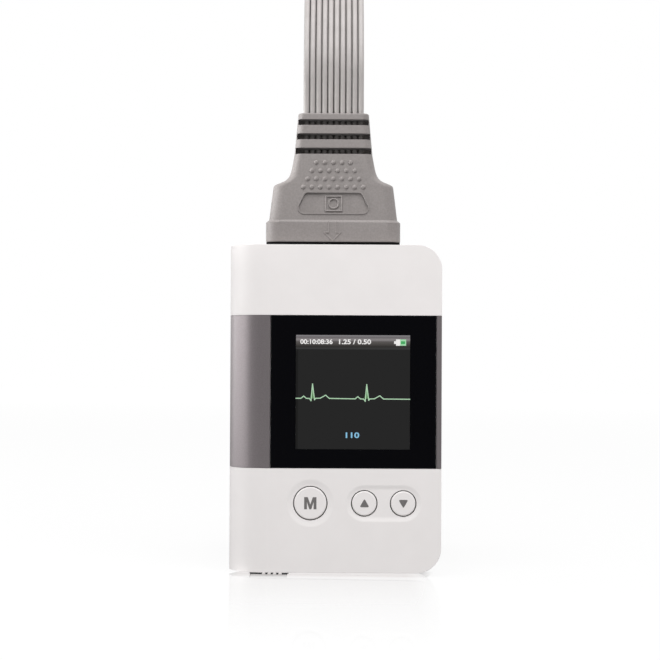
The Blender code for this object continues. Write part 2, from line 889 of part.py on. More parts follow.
def card_socket(material):
    """Tray on the back of the board that takes the memory card."""
    low_y = board_back + seat_gap
    across, up = socket_card_width / 2, socket_card_height / 2
    socket = make_object("card_socket", box_mesh(
        (board_middle - across, low_y, card_z - up),
        (board_middle + across, low_y + socket_card_thickness, card_z + up)), material)
    inner = card_width / 2 + slide_gap
    return cut(socket, box_mesh(
        (board_middle - inner, low_y + card_wall, card_z - up + card_wall),
        (board_middle + inner, low_y + card_wall + card_thickness + 2 * slide_gap,
         card_z + up + overrun)))


def memory_card(material):
    """Memory card in its socket."""
    low_y = board_back + seat_gap + card_wall + slide_gap
    low_z = card_z - socket_card_height / 2 + card_wall + slide_gap
    half, head = card_width / 2, card_width * card_head_share
    shoulder, top = (card_height * share for share in card_shoulder_shares)
    outline = ((-half, 0.0), (half, 0.0), (half, shoulder), (head, top), (head, card_height),
               (-half, card_height))
    placed = [(board_middle + u, low_z + v) for u, v in outline]
    return make_object("memory_card", prism_mesh(placed, low_y, low_y + card_thickness, "Y"), material)


def backup_cell(material):
    """Coin cell that keeps the clock going."""
    low = board_back + seat_gap
    radius = coin_diameter / 2
    profile = ((radius - card_wall, low), (radius, low + card_wall), (radius, low + coin_thickness))
    return make_object("backup_cell", turned_mesh(profile, (board_middle, 0.0, coin_z), "Y"), material)


def buzzer(material):
    """Round buzzer with its sound hole."""
    low = board_back + seat_gap
    high = low + buzzer_thickness
    place = (board_middle, 0.0, buzzer_z)
    made = make_object("buzzer", cylinder_mesh(buzzer_diameter / 2, low, high, place, "Y"), material)
    return cut(made, cylinder_mesh(buzzer_hole / 2, high - buzzer_hole / 2, high + overrun, place, "Y",
                                   round_steps // 2))


def amplifier_shield(material):
    """Screening can over the input amplifiers, close to the lead socket."""
    low_y = board_back + seat_gap
    across, up = shield_width / 2, shield_height / 2
    mesh = box_mesh((board_middle - across, low_y, shield_z - up),
                    (board_middle + across, low_y + shield_thickness, shield_z + up))
    top = [edge for edge in mesh.edges if all(vert.co.y > low_y + shield_thickness / 2
                                              for vert in edge.verts)]
    round_edges(mesh, top, card_wall, 2)
    return make_object("amplifier_shield", mesh, material)


def battery_cell(material):
    """AA cell standing in the spine, positive end up."""
    radius, edge = cell_diameter / 2, cell_edge_radius
    profile = [(radius - edge, cell_bottom), (radius, cell_bottom + edge), (radius, cell_top - edge),
               (radius - edge, cell_top), (nub_diameter / 2, cell_top),
               (nub_diameter / 2, cell_top + nub_height)]
    return make_object("battery_cell", turned_mesh(profile, (spine_x, 0.0, 0.0)), material)


def contact_plate(name, low, material):
    """A flat battery contact across the bay."""
    across, deep = plate_width / 2, plate_depth / 2
    mesh = box_mesh((spine_x - across, -deep, low), (spine_x + across, deep, low + plate_thickness))
    corners = [edge for edge in mesh.edges
               if abs(edge.verts[0].co.z - edge.verts[1].co.z) > plate_thickness / 2]
    round_edges(mesh, corners, spring_wire, 2)
    return make_object(name, mesh, material)


def tube(name, points, diameter, resolution, material):
    """One unbroken round tube along points, with closed ends."""
    curve = bpy.data.curves.new(name, "CURVE")
    curve.dimensions = "3D"
    curve.bevel_depth = diameter / 2
    curve.bevel_resolution = resolution
    curve.use_fill_caps = True
    spline = curve.splines.new("POLY")
    spline.points.add(len(points) - 1)
    for point, place in zip(spline.points, points):
        point.co = (*place, 1.0)
    spline.use_smooth = True
    curve.materials.append(material)
    made = bpy.data.objects.new(name, curve)
    bpy.context.scene.collection.objects.link(made)
    return made


def report_gap(name, points, diameter):
    """Print the least clearance between the tube and its own other turns."""
    lengths = [0.0]
    for first, second in zip(points, points[1:]):
        lengths.append(lengths[-1] + (Vector(second) - Vector(first)).length)
    least = None
    for i, first in enumerate(points):
        for j in range(i + 1, len(points)):
            if lengths[j] - lengths[i] > 3 * diameter:
                gap = (Vector(points[j]) - Vector(first)).length - diameter
                least = gap if least is None else min(least, gap)
    print(name, "least gap to itself", round(least / mm, 3), "mm, length",
          round(lengths[-1] / mm, 1), "mm")


def battery_spring(material):
    """Cone spring on the negative end, wound from its wide foot to its tip."""
    low = sill_height + contact_stack + spring_wire / 2
    high = low + spring_height - spring_wire
    count = int(spring_curls * spring_steps)
    points = []
    for i in range(count + 1):
        share = i / count
        angle = 2 * math.pi * spring_curls * share
        radius = spring_base_radius + (spring_tip_radius - spring_base_radius) * share
        points.append((spine_x + radius * math.cos(angle), radius * math.sin(angle),
                       low + (high - low) * share))
    report_gap("battery_spring", points, spring_wire)
    return tube("battery_spring", points, spring_wire, 1, material)


def battery_door(material):
    """Rear quarter of the spine and part of the flat back, with the hinge knuckle."""
    inner = half_depth - wall
    outer_arc = spine_arc(half_depth, None, math.pi / 2, part_back + seat_gap / 2)
    drop = math.asin((inner - hinge_y) / knuckle_radius)
    knuckle = arc((hinge_x, hinge_y), knuckle_radius, math.pi / 2, -math.pi - drop, round_steps // 2)
    inner_arc = spine_arc(bay_radius, math.pi / 2, None, part_back + seat_gap / 2)
    outline = outer_arc + knuckle + inner_arc
    door = make_object("battery_door", prism_mesh(outline, door_bottom, door_top), material)
    recess = spine_arc(half_depth + overrun, None, math.pi / 2, -overrun)
    edge = hinge_x - knuckle_radius
    recess += [(edge, half_depth + overrun), (edge, half_depth - band_recess)]
    recess += spine_arc(half_depth - band_recess, math.pi / 2, None, -overrun)
    cut(door, prism_mesh(recess, band_bottom, band_top + overrun))
    cut(door, cylinder_mesh(pin_diameter / 2 + pin_gap, 0.0, body_height, (hinge_x, hinge_y, 0.0),
                            steps=round_steps // 2))
    return door


def door_band(material):
    """Band over the door, in line with the band on the body."""
    level = part_back + seat_gap / 2
    outer = spine_arc(half_depth, None, math.pi / 2, level)
    inner = spine_arc(half_depth - band_thickness, math.pi / 2, None, level)
    edge = hinge_x - knuckle_radius - seam_gap
    outline = outer + [(edge, half_depth), (edge, half_depth - band_thickness)] + inner
    return make_object("door_band", prism_mesh(outline, band_bottom + seam_gap, door_top), material)


def door_hinge_pin(material):
    """Steel pin through the door's knuckle into the rear housing."""
    top = band_top + head_height - seat_gap - seat_gap
    mesh = cylinder_mesh(pin_diameter / 2, seat_gap, top, (hinge_x, hinge_y, 0.0),
                         steps=round_steps // 2)
    return make_object("door_hinge_pin", mesh, material)


def battery_latch(material):
    """Ribbed slide in the base with rails and a hook under the door."""
    across, deep = latch_width / 2, latch_depth / 2
    low = latch_recess + latch_rib_height
    latch = make_object("battery_latch", box_mesh(
        (latch_x - across, latch_y - deep, low), (latch_x + across, latch_y + deep, latch_top)),
        material)
    rail = deep + latch_rail
    join(latch, box_mesh((latch_x - across, latch_y - rail, latch_top - latch_pad / 2),
                         (latch_x + across, latch_y + rail, latch_top)))
    half = latch_rib_width / 2
    first = latch_x - latch_rib_pitch * (latch_ribs - 1) / 2
    for i in range(latch_ribs):
        x = first + i * latch_rib_pitch
        join(latch, box_mesh((x - half, latch_y - deep, latch_recess),
                             (x + half, latch_y + deep, low + latch_pad / 4)))
    hook = latch_hook / 2
    return join(latch, box_mesh((latch_x - hook, latch_y - hook, low + latch_pad / 2),
                                (latch_x + hook, latch_y + hook, sill_height)))


def case_screw(index, x, z, material):
    """Cross-head case screw driven from the back."""
    top = half_depth - screw_recess
    head = top - screw_head_height
    profile = ((screw_shank / 2, -screw_reach), (screw_shank / 2, head), (screw_head / 2, head),
               (screw_head / 2, top - screw_head_height / 2), (screw_head / 2 - screw_head_height / 3, top))
    mesh = turned_mesh(profile, (x, 0.0, z), "Y", round_steps // 2)
    screw = make_object("case_screw_" + str(index), mesh, material)
    for width, height in ((screw_cross_length, screw_cross_width), (screw_cross_width, screw_cross_length)):
        cut(screw, box_mesh((x - width / 2, top - screw_cross_depth, z - height / 2),
                            (x + width / 2, top + overrun, z + height / 2)))
    return screw


def lead_socket(material):
    """Socket under the top wall with its contact tongue."""
    shoulder = body_height - wall - seat_gap
    wide, deep = socket_width / 2 + socket_flange, socket_depth / 2 + socket_flange
    socket = make_object("lead_socket", box_mesh(
        (plug_x - wide, -deep, socket_bottom), (plug_x + wide, deep, shoulder)), material)
    wide, deep = socket_width / 2, socket_depth / 2
    join(socket, box_mesh((plug_x - wide, -deep, shoulder - overrun), (plug_x + wide, deep, socket_top)))
    floor = socket_bottom + socket_floor
    wide, deep = nose_width / 2 + seat_gap, nose_depth / 2 + seat_gap
    cut(socket, box_mesh((plug_x - wide, -deep, floor), (plug_x + wide, deep, body_height)))
    tongue = [box_mesh((plug_x - tongue_width / 2, -tongue_thickness / 2, floor - overrun),
                       (plug_x + tongue_width / 2, tongue_thickness / 2, floor + tongue_height))]
    first = plug_x - contact_pitch * (contact_count - 1) / 2
    join(socket, merged(tongue))
    thick = tongue_thickness / 2 + contact_height
    fingers = [box_mesh((first + i * contact_pitch - contact_width / 2, -thick, floor - overrun / 2),
                        (first + i * contact_pitch + contact_width / 2, thick,
                         floor + tongue_height - overrun / 2)) for i in range(contact_count)]
    return join(socket, merged(fingers))


def plug_insert(material):
    """Hard nose of the plug, hollow for the socket's tongue."""
    bottom = socket_bottom + socket_floor + seat_gap
    top = plug_bottom + nose_hold
    mesh = box_mesh((plug_x - nose_width / 2, -nose_depth / 2, bottom),
                    (plug_x + nose_width / 2, nose_depth / 2, top))
    upright = [edge for edge in mesh.edges
               if abs(edge.verts[0].co.z - edge.verts[1].co.z) > nose_hold]
    round_edges(mesh, upright, rim_radius, edge_steps)
    insert = make_object("plug_insert", mesh, material)
    across = tongue_width / 2 + seat_gap
    deep = tongue_thickness / 2 + contact_height + seat_gap
    return cut(insert, box_mesh((plug_x - across, -deep, bottom - overrun),
                                (plug_x + across, deep, bottom + tongue_height)))


def plug_face(height):
    """Half depth of the plug above the skirt, at a height over its underside."""
    rise = (height - skirt_height) / (plug_height - skirt_height)
    return (plug_base_depth + (boot_top_depth - plug_base_depth) * rise) / 2


def plug_sections():
    """Height, width, depth and corner radius of the plug, from its underside up."""
    chamfer = skirt_chamfer
    inner = 2 * chamfer
    radius = plug_corner_radius
    sections = [(0.0, skirt_width - inner, skirt_depth - inner, radius - chamfer),
                (chamfer, skirt_width, skirt_depth, radius),
                (skirt_height - chamfer, skirt_width, skirt_depth, radius),
                (skirt_height, plug_base_width, plug_base_depth, radius - chamfer)]
    for along, out in shoulder_curve_shares:
        height = shoulder_height + (neck_height - shoulder_height) * along
        width = neck_width + (shoulder_width - neck_width) * out
        corner = boot_corner_radius + (plug_corner_radius - boot_corner_radius) * out
        sections.append((height, width, 2 * plug_face(height), corner))
    rim = boot_top_radius
    height = plug_height - rim
    sections.append((height, boot_top_width, 2 * plug_face(height), boot_corner_radius))
    sections.append((plug_height, boot_top_width - 2 * rim, boot_top_depth - 2 * rim,
                     boot_corner_radius - rim))
    return sections


def boot_width(height):
    """Width of the boot at a height over the plug's underside."""
    rise = (height - neck_height) / (plug_height - boot_top_radius - neck_height)
    return neck_width + (boot_top_width - neck_width) * rise


def face_prism(outline, lift, depth):
    """A prism through the plug's leaning front face; outline is across and height."""
    mesh = bmesh.new()
    rings = []
    for offset in (-lift, depth):
        rings.append([mesh.verts.new((plug_x + u, -plug_face(v) + offset, plug_bottom + v))
                      for u, v in outline])
    bridge(mesh, rings)
    return mesh


def grip_dots():
    """Rows of small domes on the front of the plug, each row set half a pitch aside."""
    domes = []
    for row, count in enumerate(grip_rows):
        height = grip_bottom + row * grip_row_pitch
        for i in range(count):
            across = (i - (count - 1) / 2) * grip_pitch
            dome = bmesh.new()
            bmesh.ops.create_uvsphere(dome, u_segments=grip_steps, v_segments=grip_steps // 2,
                                      radius=grip_radius)
            squash = grip_height / grip_radius
            turn = Matrix.Rotation(math.pi / 2, 4, "X")
            place = Vector((plug_x + across, -plug_face(height), plug_bottom + height))
            flat = Matrix.Diagonal((1.0, 1.0, squash, 1.0))
            bmesh.ops.transform(dome, matrix=Matrix.Translation(place) @ turn @ flat, verts=dome.verts)
            domes.append(dome)
    return merged(domes)


def plug_overmould(material):
    """Soft plug body with its strain-relief slots, recessed panel and grip dots."""
    mesh = bmesh.new()
    rings = []
    for height, width, depth, radius in plug_sections():
        outline = rounded_rectangle(width, depth, radius, section_steps)
        rings.append([mesh.verts.new((plug_x + u, v, plug_bottom + height)) for u, v in outline])
    bridge(mesh, rings)
    plug = make_object("plug_overmould", mesh, material)
    pocket = seat_gap
    cut(plug, box_mesh((plug_x - nose_width / 2 - pocket, -nose_depth / 2 - pocket, body_height),
                       (plug_x + nose_width / 2 + pocket, nose_depth / 2 + pocket,
                        plug_bottom + nose_hold + pocket)))
    core = lead_diameter / 2 + relief_core
    for height in relief_slot_heights:
        across = boot_width(height + relief_slot_height / 2) / 2 - relief_slot_end
        low, high = plug_bottom + height, plug_bottom + height + relief_slot_height
        for side in (-1, 1):
            near, far = sorted((side * core, side * plug_base_depth))
            cut(plug, box_mesh((plug_x - across, near, low), (plug_x + across, far, high)))
    low, high = panel_bottom, panel_bottom + panel_height
    panel = ((-panel_bottom_width / 2, low), (panel_bottom_width / 2, low),
             (panel_top_width / 2, high), (-panel_top_width / 2, high))
    cut(plug, face_prism(panel, overrun, panel_depth))
    return join(plug, grip_dots())


def smooth_route(points, count):
    """Evenly spaced points on a smooth curve through the route's own points."""
    places = [Vector(point) for point in points]
    ends = [2 * places[0] - places[1]] + places + [2 * places[-1] - places[-2]]
    fine = []
    for before, first, second, after in zip(ends, ends[1:], ends[2:], ends[3:]):
        for step in range(route_steps):
            t = step / route_steps
            fine.append(0.5 * (2 * first + (second - before) * t
                               + (2 * before - 5 * first + 4 * second - after) * t * t
                               + (3 * first - before - 3 * second + after) * t * t * t))
    fine.append(places[-1])
    total = sum((b - a).length for a, b in zip(fine, fine[1:]))
    result, walked, target = [fine[0]], 0.0, 1
    for first, second in zip(fine, fine[1:]):
        length = (second - first).length
        while target < count and walked + length >= total * target / count:
            result.append(first.lerp(second, (total * target / count - walked) / length))
            target += 1
        walked += length
    result.append(fine[-1])
    return result


def coil_points():
    """Centre line of the coil: each layer spirals in or out once, top layer first."""
    turn = 2 * math.pi * coil_layers + coil_end - coil_start
    layer_turn = turn / coil_layers
    count = round(turn / (2 * math.pi) * coil_steps)
    low = bundle_diameter / 2
    points = []
    for i in range(count + 1):
        travel = turn * i / count
        layer = min(int(travel / layer_turn), coil_layers - 1)
        within = travel / layer_turn - layer
        inward = within if layer % 2 == 0 else 1 - within
        radius = coil_radius - coil_pitch * inward
        angle = coil_start + travel
        level = 0.0
        for step in range(1, coil_layers):
            climb = (travel - step * layer_turn) / math.pi + 0.5
            climb = min(max(climb, 0.0), 1.0)
            level += climb * climb * (3 - 2 * climb)
        height = low + coil_pitch * (coil_layers - 1 - level)
        points.append(Vector((coil_x + radius * math.cos(angle), coil_y + radius * math.sin(angle),
                              height)))
    lead_in = Vector((-math.sin(coil_start), math.cos(coil_start), 0.0)) * bundle_diameter
    lead_out = Vector((-math.sin(coil_end), math.cos(coil_end), 0.0)) * bundle_diameter
    before = [points[0] - lead_in, points[0] - lead_in / 2]
    after = [points[-1] + lead_out / 2, points[-1] + lead_out]
    return before + points + after


def lead_coil(points, material):
    """The leads' spare length, coiled on the floor behind the recorder."""
    report_gap("lead_coil", points, bundle_diameter)
    return tube("lead_coil", points, bundle_diameter, 1, material)


def row_outline():
    """The ten leads side by side as one ribbed outline, anticlockwise from the lower left."""
    radius = lead_diameter / 2
    half = (lead_count - 1) / 2
    lower = []
    for i in range(lead_count):
        centre = (i - half) * lead_pitch
        lower += [(centre - radius * math.sin(lobe_angle), -radius * math.cos(lobe_angle)),
                  (centre + radius * math.sin(lobe_angle), -radius * math.cos(lobe_angle))]
        if i < lead_count - 1:
            lower.append((centre + lead_pitch / 2, -lead_valley))
    lower.append((half * lead_pitch + radius, 0.0))
    return lower + [(-u, -v) for u, v in lower]


def bundle_outline(round_share):
    """Section of the leads between the flat row and the round bundle."""
    flat = row_outline()
    count = len(flat)
    points = []
    for i, (u, v) in enumerate(flat):
        angle = math.pi + 2 * math.pi * (i + 0.5) / count
        ring = (bundle_diameter / 2 * math.cos(angle), bundle_diameter / 2 * math.sin(angle))
        points.append((u + (ring[0] - u) * round_share, v + (ring[1] - v) * round_share))
    return points


def lead_bundle(coil, material):
    """Free stretch of the leads: up out of the boot, over and down into the coil."""
    back = (coil[0] - coil[1]).normalized()
    last = coil[0] + back * seat_gap
    before = last + back * bundle_diameter
    route = [(plug_x, 0.0, lead_row_start)]
    route += [(plug_x, y, plug_top + rise) for y, rise in bundle_arch]
    route += list(bundle_fall) + [tuple(before), tuple(last)]
    points = smooth_route(route, bundle_rings)
    count = len(points)
    tangents = []
    for i in range(count):
        ahead, behind = points[min(i + 1, count - 1)], points[max(i - 1, 0)]
        tangents.append((ahead - behind).normalized())
    tangents[0] = Vector((0.0, 0.0, 1.0))
    tangents[-1] = (coil[1] - coil[0]).normalized()
    across = Vector((1.0, 0.0, 0.0))
    mesh = bmesh.new()
    rings = []
    for i, (point, tangent) in enumerate(zip(points, tangents)):
        across = (across - tangent * across.dot(tangent)).normalized()
        deep = tangent.cross(across)
        start, end = gather_shares
        share = min(max((i / (count - 1) - start) / (end - start), 0.0), 1.0)
        share = share * share * (3 - 2 * share)
        rings.append([mesh.verts.new(point + across * u + deep * v)
                      for u, v in bundle_outline(share)])
    bridge(mesh, rings)
    return make_object("lead_bundle", mesh, material)


def snap_places():
    """Centres of the snap connectors from left to right, every other one in the far row."""
    first = snap_x - snap_pitch * (lead_count - 1) / 2
    return [(first + i * snap_pitch, snap_y + snap_row_pitch * (i % 2)) for i in range(lead_count)]


def snap_mesh():
    """Snap connector lying flat, its neck towards -Y and its socket down."""
    edge = snap_edge_radius
    profile = ((snap_radius - edge / 2, 0.0), (snap_radius, edge / 2), (snap_radius, snap_height - edge),
               (snap_radius - edge, snap_height))
    snap = make_object("snap", turned_mesh(profile, (0.0, 0.0, 0.0), steps=snap_steps), None)
    level = snap_neck_radius
    neck = turned_mesh(((snap_neck_tip_radius, -snap_neck_length), (snap_neck_radius, -snap_radius),
                        (snap_neck_radius, -snap_radius / 2)), (0.0, 0.0, level + seam_gap), "Y",
                       snap_steps // 2)
    join(snap, neck)
    cut(snap, cylinder_mesh(snap_socket_radius, -overrun, snap_socket_depth, (0.0, 0.0, 0.0),
                            steps=snap_steps // 2))
    data = snap.data
    bpy.data.objects.remove(snap)
    return data


def tail_route(start, heading, finish):
    """Way of one lead from the trunk: a smooth turn to its own line, then straight to its neck."""
    turn = Vector((finish.x, snap_y - snap_neck_length - tail_straight, finish.z))
    reach = (turn - start).length
    leave = heading * reach
    arrive = Vector((0.0, reach, 0.0))
    points = []
    for i in range(tail_points + 1):
        t = i / tail_points
        a = 2 * t ** 3 - 3 * t ** 2 + 1
        b = t ** 3 - 2 * t ** 2 + t
        c = -2 * t ** 3 + 3 * t ** 2
        d = t ** 3 - t ** 2
        points.append(start * a + leave * b + turn * c + arrive * d)
    return points + [finish]


def tube_mesh(points, radius, sides):
    """A closed tube as a bmesh, for joining to its neighbours."""
    mesh = bmesh.new()
    rings = []
    up = Vector((0.0, 0.0, 1.0))
    for i, point in enumerate(points):
        tangent = (points[min(i + 1, len(points) - 1)] - points[max(i - 1, 0)]).normalized()
        side = tangent.cross(up).normalized()
        lift = side.cross(tangent)
        rings.append([mesh.verts.new(point + side * u + lift * v)
                      for u, v in arc((0.0, 0.0), radius, 0.0, 2 * math.pi, sides)[:-1]])
    bridge(mesh, rings)
    return mesh


def lead_tails(coil, places, material):
    """The ends of the leads, fanned out from the coil to their connectors."""
    heading = (coil[-1] - coil[-2])
    heading.z = 0.0
    heading.normalize()
    start = coil[-1] + heading * seat_gap
    trunk_end = start + heading * tail_trunk
    trunk = [start, start + heading * tail_trunk / 2, trunk_end]
    tails = make_object("lead_tails", tube_mesh(trunk, bundle_diameter / 2, 12), material)
    side = Vector((heading.y, -heading.x, 0.0))
    for i, (x, y) in enumerate(places):
        finish = Vector((x, y - snap_neck_length - seat_gap, snap_neck_radius + seam_gap))
        shift = (i - (lead_count - 1) / 2) / (lead_count - 1) * (bundle_diameter - lead_diameter)
        inner = trunk_end - heading * tail_spread + side * shift
        join(tails, tube_mesh(tail_route(inner, heading, finish), lead_diameter / 2, 6))
    return tails


def set_origin(piece, place):
    """Move an object's origin without moving its surface."""
    piece.data.transform(Matrix.Translation(-Vector(place)))
    piece.location = place


def add_pivot(name, place, children):
    """An empty on a joint's axis that carries the pieces that move with it."""
    pivot = bpy.data.objects.new(name, None)
    pivot.location = place
    bpy.context.scene.collection.objects.link(pivot)
    for child in children:
        child.data.transform(Matrix.Translation(-Vector(place)))
        child.parent = pivot
    return pivot


def clear_scene():
    for old in list(bpy.data.objects):
        bpy.data.objects.remove(old, do_unlink=True)


def build_recorder():
    """Housing, band, display and what lies inside."""
    white = new_material("white_plastic", (0.80, 0.78, 0.77), 0.35)
    grey = new_material("grey_band", (0.16, 0.14, 0.15), 0.35, 0.6)
    black = new_material("black_lens", (0.004, 0.004, 0.005), 0.05)
    glass = new_material("display_glass", (0.02, 0.03, 0.04), 0.2)
    board = new_material("green_board", (0.02, 0.12, 0.05), 0.5)
    dark = new_material("dark_plastic", (0.02, 0.02, 0.02), 0.5)
    steel = new_material("steel", (0.5, 0.5, 0.5), 0.3, 1.0)
    amber = new_material("flex_film", (0.35, 0.16, 0.03), 0.4)
    front_housing(white)
    rear_housing(white)
    front_spine_band(grey)
    side_band(grey)
    rear_band(grey)
    display_lens(black)
    display_module(glass)
    display_frame(dark)
    display_flex(amber)
    main_board(board)
    for key in keys:
        key_button(key, white)
        key_switch(key, dark)
    card_socket(steel)
    memory_card(dark)
    backup_cell(steel)
    buzzer(dark)
    amplifier_shield(steel)
    lead_socket(dark)
    for index, (x, z) in enumerate(case_screws, 1):
        case_screw(index, x, z, steel)


def build_battery():
    """Cell, contacts, door and latch."""
    white = bpy.data.materials["white_plastic"]
    grey = bpy.data.materials["grey_band"]
    steel = bpy.data.materials["steel"]
    wrap = new_material("cell_wrap", (0.05, 0.05, 0.06), 0.35, 0.3)
    battery_cell(wrap)
    battery_spring(steel)
    contact_plate("spring_plate", sill_height + seat_gap, steel)
    contact_plate("top_plate", band_top - seat_gap - plate_thickness, steel)
    door = battery_door(white)
    band = door_band(grey)
    add_pivot("door_pivot", (hinge_x, hinge_y, sill_height), (door, band))
    door_hinge_pin(steel)
    latch = battery_latch(grey)
    set_origin(latch, (latch_x, latch_y, 0.0))


def build_leads():
    """Plug, leads and snap connectors."""
    soft = new_material("grey_overmould", (0.27, 0.25, 0.24), 0.6)
    hard = new_material("dark_insert", (0.03, 0.03, 0.03), 0.45)
    jacket = new_material("lead_jacket", (0.43, 0.41, 0.40), 0.45)
    overmould = plug_overmould(soft)
    insert = plug_insert(hard)
    coil = coil_points()
    bundle = lead_bundle(coil, jacket)
    add_pivot("lead_plug_pivot", (plug_x, 0.0, body_height), (overmould, insert, bundle))
    lead_coil(coil, jacket)
    places = snap_places()
    lead_tails(coil, places, jacket)
    snap = snap_mesh()
    snap.name = "snap_connector"
    snap.materials.append(soft)
    for index, (x, y) in enumerate(places, 1):
        made = bpy.data.objects.new("snap_connector_" + str(index), snap)
        made.location = (x, y, 0.0)
        bpy.context.scene.collection.objects.link(made)


clear_scene()
build_recorder()
build_battery()
build_leads()
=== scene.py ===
# %% [markdown]
# # A pocket heart recorder on a white table
#
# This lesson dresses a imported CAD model. The CAD part fixes every size and every joint, and
# this script gives each piece the shape, finish and light that a camera would see. The object
# is a small white case with a round battery spine, a grey band, a black lens over a square
# display, three keys, and a soft plug with ten thin leads.

# %% Load the frame
import json
import math

import bmesh
import bpy
from mathutils import Matrix, Vector
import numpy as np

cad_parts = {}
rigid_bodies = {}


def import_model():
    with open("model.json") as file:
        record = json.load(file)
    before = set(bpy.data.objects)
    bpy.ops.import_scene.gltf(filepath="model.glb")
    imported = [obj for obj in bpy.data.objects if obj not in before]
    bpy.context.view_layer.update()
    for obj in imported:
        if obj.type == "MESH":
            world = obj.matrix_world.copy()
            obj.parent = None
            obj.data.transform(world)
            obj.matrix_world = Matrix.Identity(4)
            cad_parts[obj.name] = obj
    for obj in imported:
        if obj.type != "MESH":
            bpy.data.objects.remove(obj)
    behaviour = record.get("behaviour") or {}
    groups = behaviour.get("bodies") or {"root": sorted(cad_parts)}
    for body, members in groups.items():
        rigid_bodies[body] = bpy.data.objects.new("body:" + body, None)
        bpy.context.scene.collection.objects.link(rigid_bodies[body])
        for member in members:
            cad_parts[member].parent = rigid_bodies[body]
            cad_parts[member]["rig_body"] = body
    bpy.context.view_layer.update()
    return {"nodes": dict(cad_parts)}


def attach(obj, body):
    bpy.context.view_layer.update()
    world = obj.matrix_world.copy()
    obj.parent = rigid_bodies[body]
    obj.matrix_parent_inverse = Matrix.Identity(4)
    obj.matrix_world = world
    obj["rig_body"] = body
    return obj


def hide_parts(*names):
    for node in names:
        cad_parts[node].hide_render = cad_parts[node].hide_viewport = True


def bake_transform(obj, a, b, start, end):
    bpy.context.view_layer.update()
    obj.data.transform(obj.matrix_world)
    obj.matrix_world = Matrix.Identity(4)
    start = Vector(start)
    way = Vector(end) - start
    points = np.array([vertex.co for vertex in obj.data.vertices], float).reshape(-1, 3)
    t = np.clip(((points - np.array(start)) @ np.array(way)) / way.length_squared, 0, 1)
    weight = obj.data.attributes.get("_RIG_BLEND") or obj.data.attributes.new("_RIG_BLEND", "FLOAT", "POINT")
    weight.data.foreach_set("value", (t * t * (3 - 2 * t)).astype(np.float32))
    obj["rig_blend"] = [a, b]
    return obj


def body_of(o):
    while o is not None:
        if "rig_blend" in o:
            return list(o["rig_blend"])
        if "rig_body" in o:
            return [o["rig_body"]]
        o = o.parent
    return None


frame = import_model()
mm = 0.001

# %% [markdown]
# ## The camera
#
# The photograph looks straight at the screen from about 45 cm, a little over the middle of
# the case, and leans back by one degree. A long lens keeps the sides parallel. The tiny roll
# is the tilt of the case in the picture.

# %% Camera
SENSOR_WIDTH, FOCAL_LENGTH, NEAREST, FARTHEST = 36.0, 103.3, 0.01, 20.0
CAMERA_PLACE, CAMERA_LEAN, CAMERA_ROLL = Vector((-1.2, -457.5, 50.0)), 90.94, -0.27
camera_data = bpy.data.cameras.new("camera")
camera_data.sensor_width = SENSOR_WIDTH
camera_data.lens = FOCAL_LENGTH
camera_data.clip_start = NEAREST
camera_data.clip_end = FARTHEST
camera = bpy.data.objects.new("camera", camera_data)
camera.location = CAMERA_PLACE * mm
camera.rotation_euler = (math.radians(CAMERA_LEAN), math.radians(CAMERA_ROLL), 0.0)
bpy.context.scene.collection.objects.link(camera)
bpy.context.scene.camera = camera
bpy.context.scene.view_settings.view_transform = "Standard"
print("camera in front of the middle plane, mm:", -CAMERA_PLACE.y)

# %% [markdown]
# ## Finishes
#
# Colours are written as they look on screen, in hex, and one function turns them to the
# linear values that a renderer counts with. One more function adds a shader node with its
# settings and its links, so that a finish reads as a short list of steps.

# %% Colour and nodes


def colour(code):
    """sRGB hex to linear."""
    parts = [int(code[i:i + 2], 16) / 255 for i in (0, 2, 4)]
    return [p / 12.92 if p <= 0.04045 else ((p + 0.055) / 1.055) ** 2.4 for p in parts] + [1.0]


def add_node(tree, kind, settings=None, *wires, **links):
    """One node, with settings by property or socket name, and links by order or socket name."""
    node = tree.nodes.new("ShaderNode" + kind)
    for key, value in (settings or {}).items():
        if key in node.inputs:
            node.inputs[key].default_value = value
        else:
            setattr(node, key, value)
    for number, source in enumerate(wires):
        tree.links.new(source, node.inputs[number])
    for key, source in links.items():
        tree.links.new(source, node.inputs[key.replace("_", " ")])
    return node


def new_finish(name, code, roughness, **settings):
    """A Principled finish with its plain values set on the shader's own sockets."""
    finish = bpy.data.materials.new(name)
    finish.use_nodes = True
    shader = finish.node_tree.nodes["Principled BSDF"]
    shader.inputs["Base Color"].default_value = colour(code)
    shader.inputs["Roughness"].default_value = roughness
    for key, value in settings.items():
        shader.inputs[key.replace("_", " ")].default_value = value
    finish.diffuse_color = colour(code)
    return finish, finish.node_tree, shader


print("a middle grey, as a linear value:", round(colour("808080")[0], 3))

# %% [markdown]
# No real surface has one colour or one roughness. Two near colours in soft patches, and a fine
# grain that lifts the surface and varies its gloss, are enough for moulded plastic and plated
# metal. Both are scaled in millimetres on the piece itself, so they don't swim when it moves.

# %% Patches and grain


def fill_ramp(ramp, stops):
    """Stops in order: the ramp sorts its elements, so each is set as it is made."""
    elements = ramp.color_ramp.elements
    first, *middle, last = stops
    elements[0].position, elements[0].color = first
    elements[1].position, elements[1].color = last
    for position, tone in middle:
        elements.new(position).color = tone


def mottle(tree, shader, codes, size, detail=3.0, low=0.35, high=0.65):
    """Two near colours mixed by a soft noise whose patches are size millimetres wide."""
    place = add_node(tree, "TexCoord").outputs["Object"]
    noise = add_node(tree, "TexNoise", {"Scale": 1 / (size * mm), "Detail": detail}, Vector=place)
    ramp = add_node(tree, "ValToRGB", Fac=noise.outputs["Fac"])
    fill_ramp(ramp, [(low, colour(codes[0])), (high, colour(codes[1]))])
    tree.links.new(ramp.outputs["Color"], shader.inputs["Base Color"])


